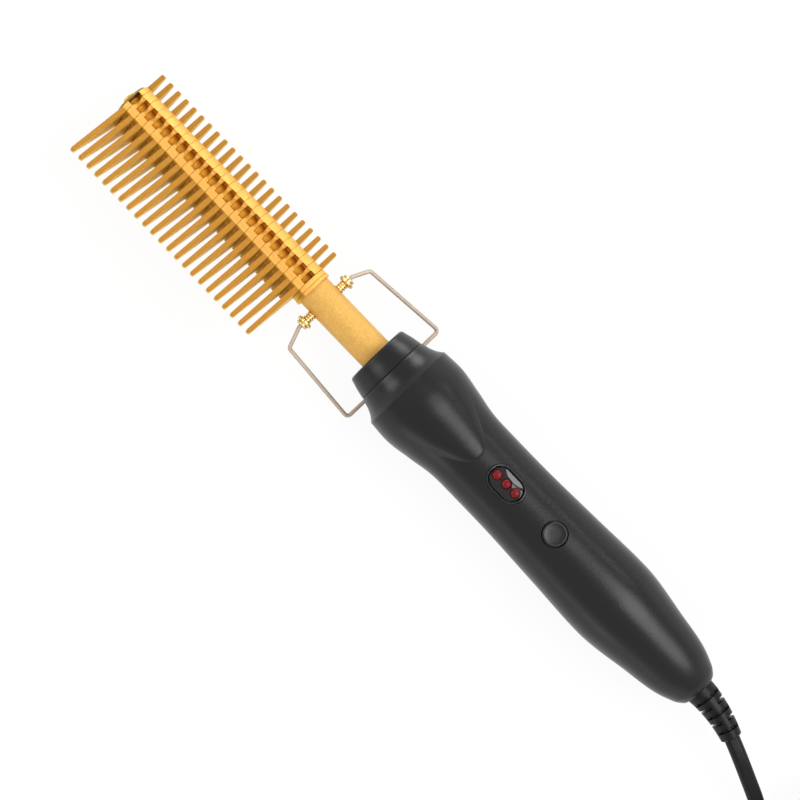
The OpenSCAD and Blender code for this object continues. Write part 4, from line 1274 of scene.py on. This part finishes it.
class HOTCOMB_OT_controls(Operator):
    """Indicator window, its rim, the lamps and the button"""

    bl_idname = "hotcomb.controls"
    bl_label = "Controls"

    def execute(self, context):
        self.lens()
        rim = simple_finish(
            "window_rim", (0.012, 0.012, 0.013), (0.008, 0.008, 0.009), (0.2, 0.3),
            cloud=150, grain=2000, depth=1e-5,
        )
        dress("window_bezel", rim, crease=35, bevel=0.00012, segments=3)
        self.lamps()
        self.button()
        return {"FINISHED"}

    def lens(self):
        """Dark window, domed both ways, with a flat facet along one side and a hole for each lamp."""
        gloss = simple_finish(
            "window_gloss", (0.008, 0.008, 0.009), (0.005, 0.005, 0.006), (0.07, 0.11),
            cloud=120, grain=1500, depth=1e-6, coat_weight=0.6, specular_ior_level=0.15,
        )
        half_l, half_w = WINDOW_HALF_L - BEZEL_W, WINDOW_HALF_W - BEZEL_W
        top, foot, dome_r, arch_mid, arch_flat = 15.3, 13.6, 11.5, 1.5, 80
        edge_share, edge_round = 0.96, 0.2
        facet_top, facet_slope, facet_w = 15.05, 0.49, 2.3
        outline = np.array(stadium(half_l, half_w))
        shape = [np.insert(outline, 2, foot, axis=1)]
        for share in [1.0, 0.985, *np.linspace(edge_share, 0.06, 26)]:
            x, y = (outline * share).T
            edge_drop = edge_round * max(0, share - edge_share) / (1 - edge_share)
            arch_drop = (x - arch_mid) ** 2 / arch_flat + dome_r - np.sqrt(dome_r**2 - y * y)
            dome = top - arch_drop - edge_drop
            facet = facet_top - facet_slope * (facet_w - half_w - y)
            shape.append(np.stack([x, y, np.minimum(dome, facet)], axis=1))
        shape = to_world(np.array(shape) + (WINDOW_MID, 0, 0))
        lens = tube("window_lens", shape, gloss, crease=50)
        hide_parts("light_window")
        carve(lens, [post_cutter(s, 0, LAMP_R + 0.12, 12, 17) for s in LAMP_STATIONS])
        soften(lens.data, 50)

    def lamps(self):
        """Three red domes."""
        red = settings("hot_comb_grip").lamp
        finish = simple_finish(
            "lamp_red", rgba(red), rgba(red, 0.6), (0.28, 0.36),
            cloud=500, grain=1500, depth=3e-6, specular_ior_level=0.2,
        )
        wide, dome_foot, dome_h = LAMP_R + 0.3, 14.55, 1.05
        outline = [(wide, 10.0), (wide, 10.8), (LAMP_R, 10.8), (LAMP_R, dome_foot)]
        outline += [
            (max(LAMP_R * math.cos(a), 0.01), dome_foot + dome_h * math.sin(a))
            for a in np.linspace(0.1, math.pi / 2, 12)
        ]
        places = [lambda x, y, up, s=s: (s + x, y, up) for s in LAMP_STATIONS]
        piece = turned("red_lamps", outline, places, 40, finish, crease=40)
        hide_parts("led_lamps")

    def button(self):
        """Round button with a rounded rim and a slightly hollow top."""
        top, flange_r, rim = 16.13, 5.4, 0.5
        outline = [
            (0.01, 9.5), (1.5, 9.5), (1.5, 10.4), (flange_r, 10.4), (flange_r, 11.4),
            (BUTTON_R, 11.4), (BUTTON_R, top - 0.55),
        ]
        outline += [
            (BUTTON_R - rim + rim * math.cos(a), top - rim + rim * math.sin(a))
            for a in np.linspace(0.1, math.pi / 2, 7)
        ]
        outline += [
            (3.6, top - 0.03), (3.2, top - 0.14), (2.2, top - 0.2), (1.1, top - 0.22),
            (0.01, top - 0.23),
        ]
        place = [lambda x, y, up: (BUTTON_AT + x, y, up)]
        button = turned(
            "round_button", outline, place, 64, grip_plastic(), body="button", crease=40,
        )
        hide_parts("power_button")


# ---- inside ----

# Nodes with their material, its light and dark colour, roughness and, where it is metal, metallic
INNER_FINISHES = (
    ("heating_rod", "ceramic_white", (0.78, 0.76, 0.72), (0.62, 0.6, 0.56), (0.45, 0.6)),
    ("heater_leads", "sleeve_white", (0.8, 0.8, 0.78), (0.66, 0.66, 0.64), (0.5, 0.65)),
    ("thermistor", "bead_amber", (0.6, 0.22, 0.03), (0.4, 0.13, 0.02), (0.3, 0.45)),
    ("barrel_seat", "heatproof_tan", (0.42, 0.22, 0.10), (0.3, 0.15, 0.07), (0.5, 0.65)),
    ("thermal_fuse", "fuse_silver", (0.62, 0.62, 0.62), (0.45, 0.45, 0.45), (0.25, 0.4), 1.0),
    ("circuit_board", "board_green", (0.03, 0.16, 0.06), (0.02, 0.10, 0.04), (0.35, 0.5)),
    ("control_chip triac switch_housing", "chip_black", (0.03, 0.03, 0.03),
     (0.018, 0.018, 0.018), (0.45, 0.6)),
    ("film_capacitor", "capacitor_yellow", (0.7, 0.45, 0.05), (0.55, 0.34, 0.04), (0.35, 0.5)),
    ("led_seat switch_plunger", "seat_white", (0.78, 0.78, 0.76), (0.66, 0.66, 0.64), (0.4, 0.55)),
    ("cord_clamp", "clamp_ivory", (0.72, 0.68, 0.58), (0.6, 0.56, 0.47), (0.45, 0.6)),
    ("supply_leads", "core_brown", (0.14, 0.06, 0.03), (0.09, 0.04, 0.02), (0.4, 0.55)),
)


class HOTCOMB_OT_inside(Operator):
    """Finishes of the heater, the control and the fixings inside"""

    bl_idname = "hotcomb.inside"
    bl_label = "Inside"

    def execute(self, context):
        for nodes, *values in INNER_FINISHES:
            for node in nodes.split():
                dress(node, simple_finish(*values, cloud=400))
        dress("small_screws", screw_steel())
        return {"FINISHED"}


OPERATORS = (
    HOTCOMB_OT_stage, HOTCOMB_OT_lead, HOTCOMB_OT_relief, HOTCOMB_OT_comb, HOTCOMB_OT_barrel,
    HOTCOMB_OT_stand, HOTCOMB_OT_grip, HOTCOMB_OT_controls, HOTCOMB_OT_inside,
)


class HOTCOMB_PT_panel(Panel):
    """Sizes, colours and steps of the hot comb"""

    bl_label = "Hot comb"
    bl_idname = "HOTCOMB_PT_panel"
    bl_space_type = "VIEW_3D"
    bl_region_type = "UI"
    bl_category = "Hot comb"

    def draw(self, context):
        for name in GROUPS:
            group = getattr(context.scene, name)
            box = self.layout.box()
            for key in group.__annotations__:
                box.prop(group, key)
        for step in OPERATORS:
            self.layout.operator(step.bl_idname)


GROUPS = {
    "hot_comb": CombSettings,
    "hot_comb_grip": GripSettings,
    "hot_comb_lead": LeadSettings,
    "hot_comb_stage": StageSettings,
}
CLASSES = (*GROUPS.values(), *OPERATORS, HOTCOMB_PT_panel)


def register():
    for item in CLASSES:
        bpy.utils.register_class(item)
    for name, group in GROUPS.items():
        setattr(bpy.types.Scene, name, PointerProperty(type=group))


def unregister():
    for name in GROUPS:
        delattr(bpy.types.Scene, name)
    for item in reversed(CLASSES):
        bpy.utils.unregister_class(item)


def main():
    register()
    for step in OPERATORS:
        area, name = step.bl_idname.split(".")
        if getattr(getattr(bpy.ops, area), name)() != {"FINISHED"}:
            raise RuntimeError(f"{step.bl_label} could not be made")


if __name__ == "__main__":
    main()
